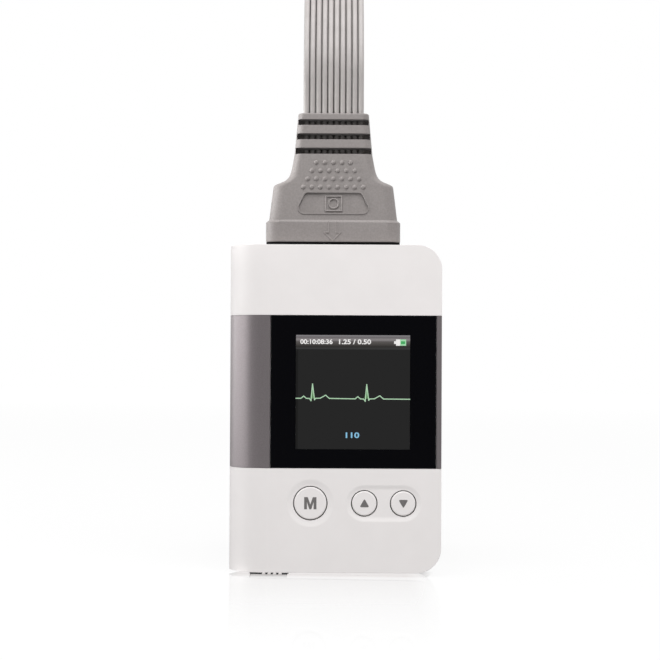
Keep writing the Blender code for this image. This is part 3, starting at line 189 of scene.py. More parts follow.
def grain(tree, shader, size, height, rough=None, detail=2.0):
    """Fine surface grain: size millimetres across and height millimetres deep."""
    place = add_node(tree, "TexCoord").outputs["Object"]
    noise = add_node(tree, "TexNoise", {"Scale": 1 / (size * mm), "Detail": detail}, Vector=place)
    bump = add_node(tree, "Bump", {"Strength": 1.0, "Distance": height * mm},
                    Height=noise.outputs["Fac"])
    tree.links.new(bump.outputs["Normal"], shader.inputs["Normal"])
    if rough:
        gloss = add_node(tree, "MapRange", {"To Min": rough[0], "To Max": rough[1]},
                         Value=noise.outputs["Fac"])
        tree.links.new(gloss.outputs["Result"], shader.inputs["Roughness"])


def paint(piece, finish):
    piece.data.materials.clear()
    piece.data.materials.append(finish)
    return piece


print("finishes so far:", len(bpy.data.materials))

# %% [markdown]
# The case is moulded ABS from a spark-eroded tool: a warm white with a faint grain that is too
# fine to see at this distance, so it is drawn at a third of a millimetre. It gives the eye a
# soft, even white with no sharp highlight.

# %% White case
white_abs, tree, shader = new_finish("moulded_white_abs", "E9E5E4", 0.5, IOR=1.5)
mottle(tree, shader, ("E8E4E3", "EAE6E5"), 6.0)
grain(tree, shader, 0.33, 0.003, (0.47, 0.53))
print("white case:", white_abs.name)

# %% [markdown]
# The band is ABS with a silver-grey metallic paint, sprayed over it. Its flakes give a soft
# streak on the round spine and a flat darker grey in front. The mix of metal and plastic is set
# by one value, because the lacquer over the flakes reflects like plastic.

# %% Grey band
silver_paint, tree, shader = new_finish("silver_grey_metallic_paint", "8C8587", 0.36, Metallic=0.55)
mottle(tree, shader, ("898284", "8F888A"), 0.25, 1.0)
grain(tree, shader, 0.2, 0.002, (0.33, 0.43))
print("grey band:", silver_paint.name)

# %% [markdown]
# The lens is hard-coated acrylic, printed black behind, and clear over the display. A coated
# sheet is almost a mirror, but what it mirrors here is dark, so the eye sees an even black.

# %% Black lens and clear window
black_acrylic, tree, shader = new_finish("hard_coated_black_acrylic", "08080B", 0.06, IOR=1.49)
grain(tree, shader, 3.0, 0.0006, (0.05, 0.08))
clear_acrylic, tree, shader = new_finish("clear_acrylic", "FFFFFF", 0.0, IOR=1.49,
                                         Transmission_Weight=1.0)
print("lens and window:", black_acrylic.name, clear_acrylic.name)

# %% [markdown]
# The plug is soft PVC from a bead-blasted mould, matt and slightly dusty: the grain is a quarter
# of a millimetre, and a little sheen lifts its edges. The lead jackets are the same PVC,
# extruded, so they are smoother and a shade lighter. Between the thin jackets little light gets
# in, and there the colour is drawn darker than a few light paths would show it.

# %% Soft plug and lead jackets
soft_pvc, tree, shader = new_finish("moulded_grey_soft_pvc", "878180", 0.53, IOR=1.53,
                                    Sheen_Weight=0.2, Sheen_Roughness=0.4)
mottle(tree, shader, ("837D7B", "8B8583"), 0.4, 2.0)
grain(tree, shader, 0.24, 0.014, (0.48, 0.58))

lead_pvc, tree, shader = new_finish("extruded_light_grey_pvc", "ADA8A6", 0.42, IOR=1.53)
mottle(tree, shader, ("AAA5A3", "B0ABA9"), 3.0)
grain(tree, shader, 0.5, 0.003, (0.38, 0.46))
CREVICE_REACH, CREVICE_COLOUR = 1.2, "2B2827"
crevice = add_node(tree, "AmbientOcclusion", {"Distance": CREVICE_REACH * mm, "samples": 8})
openness = add_node(tree, "MapRange", {"From Min": 0.28, "From Max": 0.75, "To Min": 0.04},
                    Value=crevice.outputs["AO"])
plain = shader.inputs["Base Color"].links[0].from_socket
shaded = add_node(tree, "Mix", {"data_type": "RGBA", "blend_type": "MIX"},
                  Factor=openness.outputs["Result"])
shaded.inputs[6].default_value = colour(CREVICE_COLOUR)
tree.links.new(plain, shaded.inputs[7])
tree.links.new(shaded.outputs[2], shader.inputs["Base Color"])
print("plug and leads:", soft_pvc.name, lead_pvc.name)

# %% [markdown]
# Small working parts are stiffer plastics. Black PBT with glass fibre has a grain that scatters light, and
# looks nearly flat. Grey POM, which slides well, is waxy and a little brighter along its edges; here it
# serves only the thin grey plate in the thumb recess, which is painted shade. The key marks are a thin
# pad-printed ink, as matt as the cap.

# %% Working plastics and ink
dark_pbt, tree, shader = new_finish("glass_filled_black_pbt", "1C1C1E", 0.5, IOR=1.56)
mottle(tree, shader, ("19191B", "212124"), 0.5)
grain(tree, shader, 0.25, 0.008, (0.45, 0.6))

# a grey kept only for the plate that paints shade in the thumb recess
shade_grey_pom, tree, shader = new_finish("painted_shade_grey_pom", "B9B5B3", 0.4, IOR=1.48)
mottle(tree, shader, ("B5B1AF", "BDB9B7"), 1.0)
grain(tree, shader, 0.3, 0.004, (0.36, 0.45))

mark_ink, tree, shader = new_finish("pad_printed_grey_ink", "6E6B6A", 0.5, IOR=1.5)
mottle(tree, shader, ("6A6766", "726F6E"), 0.3)
print("working plastics:", dark_pbt.name, shade_grey_pom.name, mark_ink.name)

# %% [markdown]
# Inside are rolled steel with a nickel plate, whose rolling marks blur what it mirrors, a board
# of glass epoxy under green solder mask, and an amber film that carries the display's tracks.

# %% Steel, board and film
bright_steel, tree, shader = new_finish("rolled_nickelled_steel", "C8C6C2", 0.28, Metallic=1.0)
mottle(tree, shader, ("C2C0BC", "CDCBC7"), 1.5)
grain(tree, shader, 0.15, 0.0015, (0.22, 0.34))

board_green, tree, shader = new_finish("solder_masked_fr4", "1E5B34", 0.38, IOR=1.55)
mottle(tree, shader, ("1A5430", "236339"), 0.9, 6.0)
grain(tree, shader, 0.4, 0.01, (0.32, 0.45))

amber_film, tree, shader = new_finish("polyimide_film", "B9742A", 0.3, IOR=1.7)
mottle(tree, shader, ("B26E26", "C17C31"), 2.0)
print("finishes so far:", len(bpy.data.materials))

# %% [markdown]
# ## Leads
#
# A lead is a fixed length of thin jacketed wire. The ten of them leave the plug side by side,
# rise out of the picture, gather into a bundle behind the case, and their spare length lies in
# a coil on the table. Each ends in a snap connector. The route repeats the CAD model's points,
# and each lead keeps its own place in the bundle, so none passes through another. A tube is
# swept along each route in code, because a swept section follows a path exactly.

# %% The common route
PLUG_X = -0.6
LEAD_COUNT = 10
LEAD_DIAMETER = 1.45
LEAD_PITCH = 1.46
PLUG_BOTTOM = 78.25
COIL_MIDDLE = (0.4, 51.0)
COIL_RADIUS = 25.0
COIL_PITCH = 5.9
COIL_LAYERS = 4
BUNDLE = 5.4
COIL_START = math.radians(90)
COIL_TURN = 2 * math.pi * COIL_LAYERS + math.radians(30) - COIL_START
ROUTE_STEP, CURVE_STEPS, TURN_STEPS, TAIL = 3.0, 24, 40, 5.0
print("leads:", LEAD_COUNT, "in a bundle of, mm:", BUNDLE)

# %% [markdown]
# The route is a handful of points. A smooth curve is laid through them, and points are set on
# it at even distances, so that the rings of a tube are evenly spaced too.

# %% Even points on a curve


def spread_evenly(points, gap):
    """Points on a smooth curve through a route, about gap millimetres apart."""
    ends = [2 * points[0] - points[1]] + points + [2 * points[-1] - points[-2]]
    fine = []
    for before, first, second, after in zip(ends, ends[1:], ends[2:], ends[3:]):
        for step in range(CURVE_STEPS):
            t = step / CURVE_STEPS
            fine.append(0.5 * (2 * first + (second - before) * t
                               + (2 * before - 5 * first + 4 * second - after) * t * t
                               + (3 * first - before - 3 * second + after) * t * t * t))
    fine.append(points[-1])
    total = sum((b - a).length for a, b in zip(fine, fine[1:]))
    count = max(2, round(total / gap))
    made, walked, target = [fine[0]], 0.0, 1
    for first, second in zip(fine, fine[1:]):
        length = (second - first).length
        while target < count and walked + length >= total * target / count:
            made.append(first.lerp(second, (total * target / count - walked) / length))
            target += 1
        walked += length
    return made + [fine[-1]]


print("steps from one given point to the next:", CURVE_STEPS)

# %% [markdown]
# The spare length is wound flat, one layer inwards and the next outwards, as a hand lays it.
# From layer to layer the line climbs by one thickness, over half a turn.

# %% The coil


def coil_line():
    """Centre line of the coil from its top layer to the table, a layer in and a layer out."""
    layer_turn = COIL_TURN / COIL_LAYERS
    count = round(COIL_TURN / (2 * math.pi) * TURN_STEPS)
    points = []
    for i in range(count + 1):
        travel = COIL_TURN * i / count
        layer = min(int(travel / layer_turn), COIL_LAYERS - 1)
        within = travel / layer_turn - layer
        radius = COIL_RADIUS - COIL_PITCH * (within if layer % 2 == 0 else 1 - within)
        level = 0.0
        for step in range(1, COIL_LAYERS):
            climb = min(max((travel - step * layer_turn) / math.pi + 0.5, 0.0), 1.0)
            level += climb * climb * (3 - 2 * climb)
        angle = COIL_START + travel
        points.append(Vector((COIL_MIDDLE[0] + radius * math.cos(angle),
                              COIL_MIDDLE[1] + radius * math.sin(angle),
                              BUNDLE / 2 + COIL_PITCH * (COIL_LAYERS - 1 - level))))
    return points


coil = coil_line()
print("points on the coil:", len(coil))

# %% [markdown]
# The leads rise from the plug, arch over behind the case and come down to the coil. The line
# runs straight for a short way before and after the coil, so that it joins it smoothly.

# %% The whole way
arch = [(0.0, 0.0, 97.6), (0.0, 0.0, 103.0), (0.0, 0.0, 109.4), (0.0, 0.0, 115.0),
        (0.0, 1.0, 126.0), (0.0, 12.0, 142.0), (0.0, 36.5, 150.0), (0.0, 61.0, 141.5),
        (0.0, 71.5, 122.0)]
fall = [(0.0, 74.5, 98.0), (3.5, 75.5, 74.0), (11.0, 76.0, 53.0), (16.8, 76.0, 36.0),
        (15.4, 76.0, 25.5)]
lead_in = Vector((BUNDLE, 0.0, 0.0))
heading = Vector((-math.sin(COIL_START + COIL_TURN), math.cos(COIL_START + COIL_TURN), 0.0))
route = [Vector(p) + Vector((PLUG_X, 0, 0)) for p in arch] + [Vector(p) for p in fall]
route += [coil[0] + 2 * lead_in, coil[0] + lead_in]
free_run = spread_evenly(route, ROUTE_STEP)
trunk_end = coil[-1] + heading * (BUNDLE + TAIL)
spine_line = free_run + [coil[0] + lead_in / 2] + coil + [coil[-1] + heading * BUNDLE / 2,
                                                          coil[-1] + heading * BUNDLE, trunk_end]
print("points on the common line:", len(spine_line))

# %% [markdown]
# In the plug the leads lie flat, side by side. Behind the case they close up into a round bundle,
# eight in a ring round two, and each keeps its order from left to right, so none crosses another.

# %% Places in the bundle
RING_RADIUS = 2.0
INNER_SHIFT = 0.69


def bundle_places():
    """Eight leads in a ring round two, in order from left to right in the flat row."""
    places = [(-INNER_SHIFT, 0.0), (INNER_SHIFT, 0.0)]
    for k in range(8):
        angle = math.pi / 8 + k * math.pi / 4
        places.append((RING_RADIUS * math.cos(angle), RING_RADIUS * math.sin(angle)))
    return sorted(places)


print("places in the bundle:", len(bundle_places()))

# %% [markdown]
# To shift a lead off the middle line, two directions square to that line are needed at each
# point. They turn as little as they can, so that the leads stay side by side. Where the bundle
# has closed it is turned a little as it goes, as a hand winds it.

# %% Off the middle line
TWIST = math.radians(1.6)
CLOSE_SHARES, DEEPEN_SHARES = (0.34, 0.62), (0.28, 0.5)


def swept_frames(points):
    """Across and deep directions that turn as little as they can along a line."""
    across = Vector((1.0, 0.0, 0.0))
    frames = []
    for i, point in enumerate(points):
        along = (points[min(i + 1, len(points) - 1)] - points[max(i - 1, 0)]).normalized()
        across = (across - along * across.dot(along)).normalized()
        frames.append((point, across.copy(), along.cross(across)))
    return frames


def ease(value, start, end):
    share = min(max((value - start) / (end - start), 0.0), 1.0)
    return share * share * (3 - 2 * share)


free = len(free_run)
lead_lines = []
for lead, (ring_u, ring_v) in enumerate(bundle_places()):
    flat_u = (lead - (LEAD_COUNT - 1) / 2) * LEAD_PITCH
    line = []
    for i, (point, across, deep) in enumerate(swept_frames(spine_line)):
        closed = ease(i, *[share * free for share in CLOSE_SHARES])
        u = flat_u + (ring_u - flat_u) * closed
        v = ring_v * ease(i, *[share * free for share in DEEPEN_SHARES])
        roll = TWIST * max(i - CLOSE_SHARES[1] * free, 0.0)
        line.append(point + across * (u * math.cos(roll) - v * math.sin(roll))
                    + deep * (u * math.sin(roll) + v * math.cos(roll)))
    lead_lines.append(line)
print("lines in the bundle:", len(lead_lines))

# %% [markdown]
# At the end of the bundle each lead turns off to its own snap. The snaps are dealt out in the
# order in which the leads lie there, so that no two cross.

# %% On to the snaps
SNAP_X, SNAP_PITCH, SNAP_Y, SNAP_ROW, SNAP_NECK = 1.0, 5.4, 101.0, 15.5, 7.2
SNAP_LEVEL, SNAP_GRIP, SNAP_RUN_IN = 1.65, 2.2, 2.0
sideways = Vector((heading.y, -heading.x, 0.0))
by_side = sorted(range(LEAD_COUNT), key=lambda lead: lead_lines[lead][-1].dot(sideways))
snap_of_lead = {lead: place for place, lead in enumerate(by_side)}
for lead, line in enumerate(lead_lines):
    place = snap_of_lead[lead]
    finish = Vector((SNAP_X + (place - (LEAD_COUNT - 1) / 2) * SNAP_PITCH,
                     SNAP_Y + SNAP_ROW * (place % 2) - SNAP_NECK, SNAP_LEVEL))
    turn = Vector((finish.x, SNAP_Y - SNAP_NECK - SNAP_RUN_IN, SNAP_LEVEL))
    start = line[-1]
    reach = (turn - start).length
    for step in range(1, CURVE_STEPS + 1):
        t = step / CURVE_STEPS
        line.append(start * (2 * t ** 3 - 3 * t ** 2 + 1) + heading * reach * (t ** 3 - 2 * t ** 2 + t)
                    + turn * (3 * t ** 2 - 2 * t ** 3) + Vector((0, reach, 0)) * (t ** 3 - t ** 2))
    line += [turn.lerp(finish, 0.5), finish, finish + Vector((0, SNAP_GRIP, 0))]

# %% [markdown]
# A jacket is extruded, so its section is the same all the way. Twelve sides look round at this
# size. The section is turned as little as it can be from point to point, or the tube would twist.

# %% Sweep the tubes


def sweep(name, line, diameter, sides=12):
    """A closed round tube along a line in millimetres."""
    rings, around = [], [2 * math.pi * k / sides for k in range(sides)]
    for point, across, deep in swept_frames(line):
        rings.append([(point + (across * math.cos(a) + deep * math.sin(a)) * diameter / 2) * mm
                      for a in around])
    verts = [tuple(v) for ring in rings for v in ring]
    faces = []
    for r in range(len(rings) - 1):
        for k in range(sides):
            low, high = r * sides, (r + 1) * sides
            faces.append((low + k, low + (k + 1) % sides, high + (k + 1) % sides, high + k))
    faces.append(tuple(reversed(range(sides))))
    faces.append(tuple(range(len(verts) - sides, len(verts))))
    data = bpy.data.meshes.new(name)
    data.from_pydata(verts, [], faces)
    data.shade_smooth()
    made = bpy.data.objects.new(name, data)
    bpy.context.scene.collection.objects.link(made)
    return made


leads = []
for index, line in enumerate(lead_lines, 1):
    lead = sweep("lead_" + str(index), line, LEAD_DIAMETER)
    paint(lead, lead_pvc)
    leads.append(lead)
print("leads swept:", len(leads))

# %% [markdown]
# ## Working by operators
#
# From here on pieces are made as by hand, with operators that work on what is selected. So every
# step starts from a clean selection, and a new piece is put at the origin with its place in its
# mesh, where the next step can count on it.

# %% Selecting, settling and naming


def clear_selection():
    if bpy.context.object and bpy.context.object.mode != "OBJECT":
        bpy.ops.object.mode_set(mode="OBJECT")
    bpy.ops.object.select_all(action="DESELECT")


def only(piece):
    """Make one piece the selected and active one."""
    clear_selection()
    piece.select_set(True)
    bpy.context.view_layer.objects.active = piece
    return piece


def settle(piece):
    """Put the object at the origin and keep its place in its mesh."""
    only(piece)
    bpy.ops.object.transform_apply(location=True, rotation=True, scale=True)
    return piece


def started(name):
    """Name the primitive that was just added, and settle it."""
    piece = bpy.context.object
    piece.name = name
    piece.data.name = name
    return settle(piece)


clear_selection()
print("objects still selected:", len(bpy.context.selected_objects))

# %% [markdown]
# Most moulded pieces start as a block or a round rod, given by its corners or its two ends. That
# is how a drawing states them, and it saves working out a middle each time.

# %% Blocks and rods
TURNS = {"X": (0, math.pi / 2, 0), "Y": (math.pi / 2, 0, 0), "Z": (0, 0, 0)}


def add_block(name, low, high):
    """A box between two corners, given in millimetres."""
    clear_selection()
    middle = [(a + b) / 2 * mm for a, b in zip(low, high)]
    bpy.ops.mesh.primitive_cube_add(size=1, location=middle)
    bpy.context.object.scale = [(b - a) * mm for a, b in zip(low, high)]
    return started(name)


def add_rod(name, radius, low, high, middle, axis="Y", sides=64):
    """A round rod along an axis, in millimetres; middle gives its place across that axis."""
    clear_selection()
    place = list(middle)
    place["XYZ".index(axis)] = (low + high) / 2
    bpy.ops.mesh.primitive_cylinder_add(vertices=sides, radius=radius * mm, depth=(high - low) * mm,
                                        location=[v * mm for v in place], rotation=TURNS[axis])
    return started(name)


print("a rod can run along:", sorted(TURNS))

# %% [markdown]
# Edges and faces are chosen by their place, which keeps working when a size changes. A full
# round stops a hair short of meeting its neighbour, so that the bevel never folds over.

# %% Picking and rounding edges
NEAR, SLIVER, SHARP_ANGLE = 0.05, 0.0005, 35


def pick(piece, kind, test):
    """Edit mode with only the edges or faces that pass a test; the test gets millimetres."""
    only(piece)
    bpy.ops.object.mode_set(mode="EDIT")
    bpy.ops.mesh.select_mode(type=kind)
    bpy.ops.mesh.select_all(action="DESELECT")
    bpy.ops.object.mode_set(mode="OBJECT")
    points = [vert.co / mm for vert in piece.data.vertices]
    chosen = 0
    for item in piece.data.edges if kind == "EDGE" else piece.data.polygons:
        if test([points[i] for i in item.vertices]):
            item.select = True
            chosen += 1
    bpy.ops.object.mode_set(mode="EDIT")
    return chosen


def runs_along(axis, least=0.02):
    """A test that passes the edges that run along an axis."""
    return lambda ends: abs(getattr(ends[0], axis) - getattr(ends[1], axis)) > least


def sharp_edges(piece, degrees=SHARP_ANGLE):
    """Edit mode with the edges that turn by more than an angle."""
    only(piece)
    bpy.ops.object.mode_set(mode="EDIT")
    bpy.ops.mesh.select_mode(type="EDGE")
    bpy.ops.mesh.select_all(action="DESELECT")
    bpy.ops.mesh.edges_select_sharp(sharpness=math.radians(degrees))


def bevel_picked(radius, steps):
    """Round what is picked, and leave edit mode."""
    bpy.ops.mesh.bevel(offset=radius * mm, segments=steps, affect="EDGES", clamp_overlap=True)
    bpy.ops.object.mode_set(mode="OBJECT")


print("an edge counts as sharp from, degrees:", SHARP_ANGLE)

# %% [markdown]
# ## The case
#
# The case is two moulded shells that meet on the middle plane. One block gives the outer form
# of both: its left edges are rounded until they meet as a half-round spine, its two right
# corners are round in front view, and every rim has a fine round. The front shell is that block
# cut at the parting, hollowed, and recessed for the band.

# %% The outer form
HALF_WIDTH, HALF_DEPTH, HEIGHT = 25.25, 9.5, 77.6
SPINE_X = HALF_DEPTH - HALF_WIDTH
CORNER, RIM, WALL = 5.8, 0.8, 1.9
BAND_LOW, BAND_HIGH = 24.6, 60.88


def d_block(name, inset, low, high):
    """The D form of the body at an inset, between two heights."""
    half, right = HALF_DEPTH - inset, HALF_WIDTH - inset
    piece = add_block(name, (-right, -half, low), (right, half, high))
    pick(piece, "EDGE", lambda ends: all(p.x < 0 for p in ends) and runs_along("z")(ends))
    bevel_picked(half - SLIVER, 48)
    return piece


body_form = d_block("body_form", 0.0, 0.0, HEIGHT)
pick(body_form, "EDGE",
     lambda ends: all(p.x > HALF_WIDTH - RIM for p in ends) and runs_along("y")(ends))
bevel_picked(CORNER, 14)
sharp_edges(body_form, 40)
bevel_picked(RIM, 5)
print("body form faces:", len(body_form.data.polygons))

# %% [markdown]
# A moulded shell is an outer form less the forms inside it. A tool body cuts another and is
# used up at once, as by hand, and a plane cut closes the face that it opens. Once in a while
# an exact cut goes wrong, so a change larger than the tool itself is undone and tried again.

# %% Copying, cutting and slicing
TRIES, SLACK = 6, 0.5


def copy_of(piece, name):
    """A copy with its own mesh."""
    made = piece.copy()
    made.data = piece.data.copy()
    made.name = name
    made.data.name = name
    bpy.context.scene.collection.objects.link(made)
    return made


def volume_of(piece):
    """Volume in cubic millimetres."""
    shape = bmesh.new()
    shape.from_mesh(piece.data)
    volume = abs(shape.calc_volume()) / mm ** 3
    shape.free()
    return volume


def combine(piece, tool, operation):
    """Cut with a tool body, or join it on; the tool is used up."""
    before, start, most = piece.data.copy(), volume_of(piece), volume_of(tool)
    for attempt in range(TRIES):
        only(piece)
        step = piece.modifiers.new(operation.lower(), "BOOLEAN")
        step.operation = operation
        step.solver = "EXACT"
        step.object = tool
        bpy.ops.object.modifier_apply(modifier=step.name)
        change = volume_of(piece) - start
        if abs(change) <= most + SLACK:
            break
        print("tried again:", piece.name, operation, round(change, 1), round(most, 1))
        piece.data = before.copy()
    bpy.data.objects.remove(tool)
    return piece


def cut(piece, *tools):
    for tool in tools:
        combine(piece, tool, "DIFFERENCE")
    return piece


def slice_off(piece, place, normal):
    """Cut a piece by a plane, close the cut and drop the side that the normal points to."""
    only(piece)
    bpy.ops.object.mode_set(mode="EDIT")
    bpy.ops.mesh.select_all(action="SELECT")
    bpy.ops.mesh.bisect(plane_co=[v * mm for v in place], plane_no=normal, use_fill=True,
                        clear_outer=True)
    bpy.ops.object.mode_set(mode="OBJECT")
    return piece


# %% [markdown]
# The front shell is the outer form cut at the parting and hollowed to an even wall: a room for
# the board, a round bay for the cell, a mouth for the connector and a pocket for the display.
# The recess for the band is a slab with a smaller D form left standing in it.

# %% Front shell: parting, rooms and the recess for the band
FAR, OVERRUN, BAND_OVERRUN, ROUND = 60.0, 1.0, 2.0, 96
PARTING, RECESS_DEEP, CEILING = 0.15, 1.1, HEIGHT - WALL
INNER_DEPTH, ROOM_LEFT, BAY_FLOOR = 7.6, -7.0, 3.0
HEAD_REACH, HEAD_RIGHT, HEAD_DEPTH, HEAD_FLOOR = 4.0, -6.9, 6.0, 62.3
MOUTH_LEFT, MOUTH_RIGHT, MOUTH_DEPTH, MOUTH_SINK = -15.75, 14.35, 5.05, 0.5
POCKET_LOW, POCKET_HIGH = (-10.85, -9.0, 25.7), (19.25, -7.0, 59.8)
front_case = copy_of(body_form, "front_case")
slice_off(front_case, (0, -PARTING, 0), (0, 1, 0))
recess = add_block("recess", (-FAR, -HALF_DEPTH - BAND_OVERRUN, BAND_LOW),
                   (FAR, HALF_DEPTH + BAND_OVERRUN, BAND_HIGH))
cut(recess, d_block("core", RECESS_DEEP, BAND_LOW - BAND_OVERRUN, BAND_HIGH + BAND_OVERRUN))
cut(front_case, recess)
room = add_block("room", (ROOM_LEFT, -INNER_DEPTH, WALL), (HALF_WIDTH - WALL, INNER_DEPTH, CEILING))
bay = add_rod("bay", INNER_DEPTH, BAY_FLOOR, BAND_HIGH, (SPINE_X, 0, 0), "Z", ROUND)
head_room = add_block("head_room", (SPINE_X - HEAD_REACH, -HEAD_DEPTH, HEAD_FLOOR),
                      (HEAD_RIGHT, HEAD_DEPTH, CEILING))
mouth = add_block("mouth", (MOUTH_LEFT, -MOUTH_DEPTH, CEILING - MOUTH_SINK),
                  (MOUTH_RIGHT, MOUTH_DEPTH, HEIGHT + OVERRUN))
pocket = add_block("display_pocket", POCKET_LOW, POCKET_HIGH)
cut(front_case, room, bay, head_room, mouth, pocket)
print("front shell faces, hollowed:", len(front_case.data.polygons))

# %% [markdown]
# The keys sit in dished hollows. A dish is a flat-ended tool whose end is inset in steps along
# a soft curve, so that the same steps make the round dish and the long one.

# %% Dishes and key holes
MODE_KEY, UP_KEY, DOWN_KEY = (-5.7, 8.1), (7.05, 6.25), (16.25, 6.25)
KEY_Z = 16.4
MODE_MARGIN, PAIR_MARGIN, DISH_DEPTH, DISH_STEPS = 1.7, 1.3, 0.16, 8
KEY_GAP, HOLE_FRONT, HOLE_BACK, WELD_GAP = 0.03, -11.0, -6.0, 0.003


def merge_close(piece):
    """Weld points that a full round has brought together."""
    only(piece)
    bpy.ops.object.mode_set(mode="EDIT")
    bpy.ops.mesh.select_all(action="SELECT")
    bpy.ops.mesh.remove_doubles(threshold=WELD_GAP * mm)
    bpy.ops.object.mode_set(mode="OBJECT")


def dish_tool(name, x_low, x_high, radius, margin):
    """A cutter for a dish round one key or a pair."""
    tool = add_block(name, (x_low - radius, -HALF_DEPTH - OVERRUN, KEY_Z - radius),
                     (x_high + radius, -HALF_DEPTH, KEY_Z + radius))
    pick(tool, "EDGE", runs_along("y"))
    bevel_picked(radius - SLIVER, 24)
    merge_close(tool)
    pick(tool, "FACE", lambda ends: all(p.y > -HALF_DEPTH - NEAR for p in ends))
    before = 0.0
    for step in range(1, DISH_STEPS + 1):
        down = DISH_DEPTH * math.sin(step / DISH_STEPS * math.pi / 2) ** 1.5
        bpy.ops.mesh.inset(thickness=margin / DISH_STEPS * mm, depth=(down - before) * mm)
        before = down
    bpy.ops.object.mode_set(mode="OBJECT")
    return tool


for name, first, last, margin in (("mode_dish", MODE_KEY, MODE_KEY, MODE_MARGIN),
                                  ("pair_dish", UP_KEY, DOWN_KEY, PAIR_MARGIN)):
    cut(front_case, dish_tool(name, first[0], last[0], first[1] / 2 + margin, margin))
for x, diameter in (MODE_KEY, UP_KEY, DOWN_KEY):
    cut(front_case, add_rod("key_hole", diameter / 2 + KEY_GAP, HOLE_FRONT, HOLE_BACK,
                            (x, 0, KEY_Z), "Y", ROUND))
print("front shell faces, with dishes:", len(front_case.data.polygons))

# %% [markdown]
# Every moulded edge has a fine round, and light runs along it. So a finished piece has its
# doubles merged and its flat faces joined, then gets that round, and shades by angle so that the
# flats stay flat.

# %% Fine edges, shading and finish
DOUBLE_GAP, FLAT_ANGLE, NORMAL_WEIGHT = 0.0005, 0.4, 50


def apply_modifier(piece, kind, **settings):
    """Add a modifier with its settings, and apply it."""
    only(piece)
    step = piece.modifiers.new(kind.lower(), kind)
    for key, value in settings.items():
        setattr(step, key, value)
    bpy.ops.object.modifier_apply(modifier=step.name)
    return piece


def smooth_off(piece, edge=0.0, degrees=SHARP_ANGLE):
    """Merge doubles, give the edges a fine moulded round, and shade by angle."""
    only(piece)
    bpy.ops.object.mode_set(mode="EDIT")
    bpy.ops.mesh.select_all(action="SELECT")
    bpy.ops.mesh.remove_doubles(threshold=DOUBLE_GAP * mm)
    bpy.ops.mesh.dissolve_limited(angle_limit=math.radians(FLAT_ANGLE))
    bpy.ops.object.mode_set(mode="OBJECT")
    if edge:
        apply_modifier(piece, "BEVEL", width=edge * mm, segments=2, limit_method="ANGLE",
                       angle_limit=math.radians(degrees), use_clamp_overlap=True)
    only(piece)
    bpy.ops.object.shade_smooth_by_angle(angle=math.radians(degrees))
    apply_modifier(piece, "WEIGHTED_NORMAL", keep_sharp=True, weight=NORMAL_WEIGHT)
    return piece


def fit(piece, finish, slot_name, body, *nodes):
    """Give a piece its finish, hide the CAD nodes it stands for and attach it to the body it rides;
    slot_name is not used.
    """
    paint(piece, finish)
    if nodes:
        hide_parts(*nodes)
    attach(piece, body)
    return piece


print("flat faces are joined below, degrees:", FLAT_ANGLE)

# %% [markdown]
# The latch of the battery door lies in the underside of the spine. A shallow recess in front of
# it lets the thumb reach its ribs. The recess is cut in both shells, since it crosses the
# parting.

# %% Thumb recess
LATCH_LEFT, LATCH_RIGHT, LATCH_FRONT, LATCH_BACK = -20.55, -10.95, 1.25, 5.95
THUMB_SIDE, THUMB_FRONT, THUMB_LAP, THUMB_DEEP = 0.3, -7.4, 0.1, 0.36
THUMB_LOW = (LATCH_LEFT + THUMB_SIDE, THUMB_FRONT, -OVERRUN)
THUMB_HIGH = (LATCH_RIGHT - THUMB_SIDE, LATCH_FRONT + THUMB_LAP, THUMB_DEEP)
cut(front_case, add_block("thumb_recess", THUMB_LOW, THUMB_HIGH))
smooth_off(front_case)
fit(front_case, white_abs, "white_plastic", "recorder", "front_housing")
print("front case faces:", len(front_case.data.polygons))

# %% [markdown]
# The band is a thin shell over the recess, painted silver-grey. It is the same outer form with
# a smaller one cut out of it, parted where the lens begins and ends.

# %% Band in front
LENS_LEFT, LENS_RIGHT, LENS_GAP = -15.2, 23.93, 0.06
LENS_LOW, LENS_HIGH = BAND_LOW + LENS_GAP, BAND_HIGH - LENS_GAP
SEAM, BAND_THICK, BAND_EDGE = 0.15, 0.8, 0.06
band_form = copy_of(body_form, "band_form")
cut(band_form, d_block("band_core", BAND_THICK, BAND_LOW - WALL, BAND_HIGH + WALL))
slice_off(band_form, (0, 0, LENS_HIGH), (0, 0, 1))
slice_off(band_form, (0, 0, LENS_LOW), (0, 0, -1))
slice_off(band_form, (0, -PARTING, 0), (0, 1, 0))
for name, node, place, way in (("band_left", "spine_band", LENS_LEFT - SEAM, 1),
                               ("band_right", "side_band", LENS_RIGHT + SEAM, -1)):
    piece = copy_of(band_form, name)
    slice_off(piece, (place, 0, 0), (way, 0, 0))
    smooth_off(piece, BAND_EDGE)
    fit(piece, silver_paint, "grey_band", "recorder", node)
bpy.data.objects.remove(band_form)
print("band thickness, mm:", BAND_THICK)

# %% [markdown]
# The lens is one sheet of acrylic, printed black behind except for a clear window over the
# display. The print is so thin that the sheet is modelled as a black frame with a clear pane.

# %% Lens and window
WINDOW_HALF, LENS_BACK, LENS_EDGE, PANE_INSET = 13.56, -8.7, 0.12, 0.02
DISPLAY_X, DISPLAY_Z = 4.25, 42.65


def window_block(name, front, back):
    """A block as wide and as tall as the window over the display."""
    return add_block(name, (DISPLAY_X - WINDOW_HALF, front, DISPLAY_Z - WINDOW_HALF),
                     (DISPLAY_X + WINDOW_HALF, back, DISPLAY_Z + WINDOW_HALF))


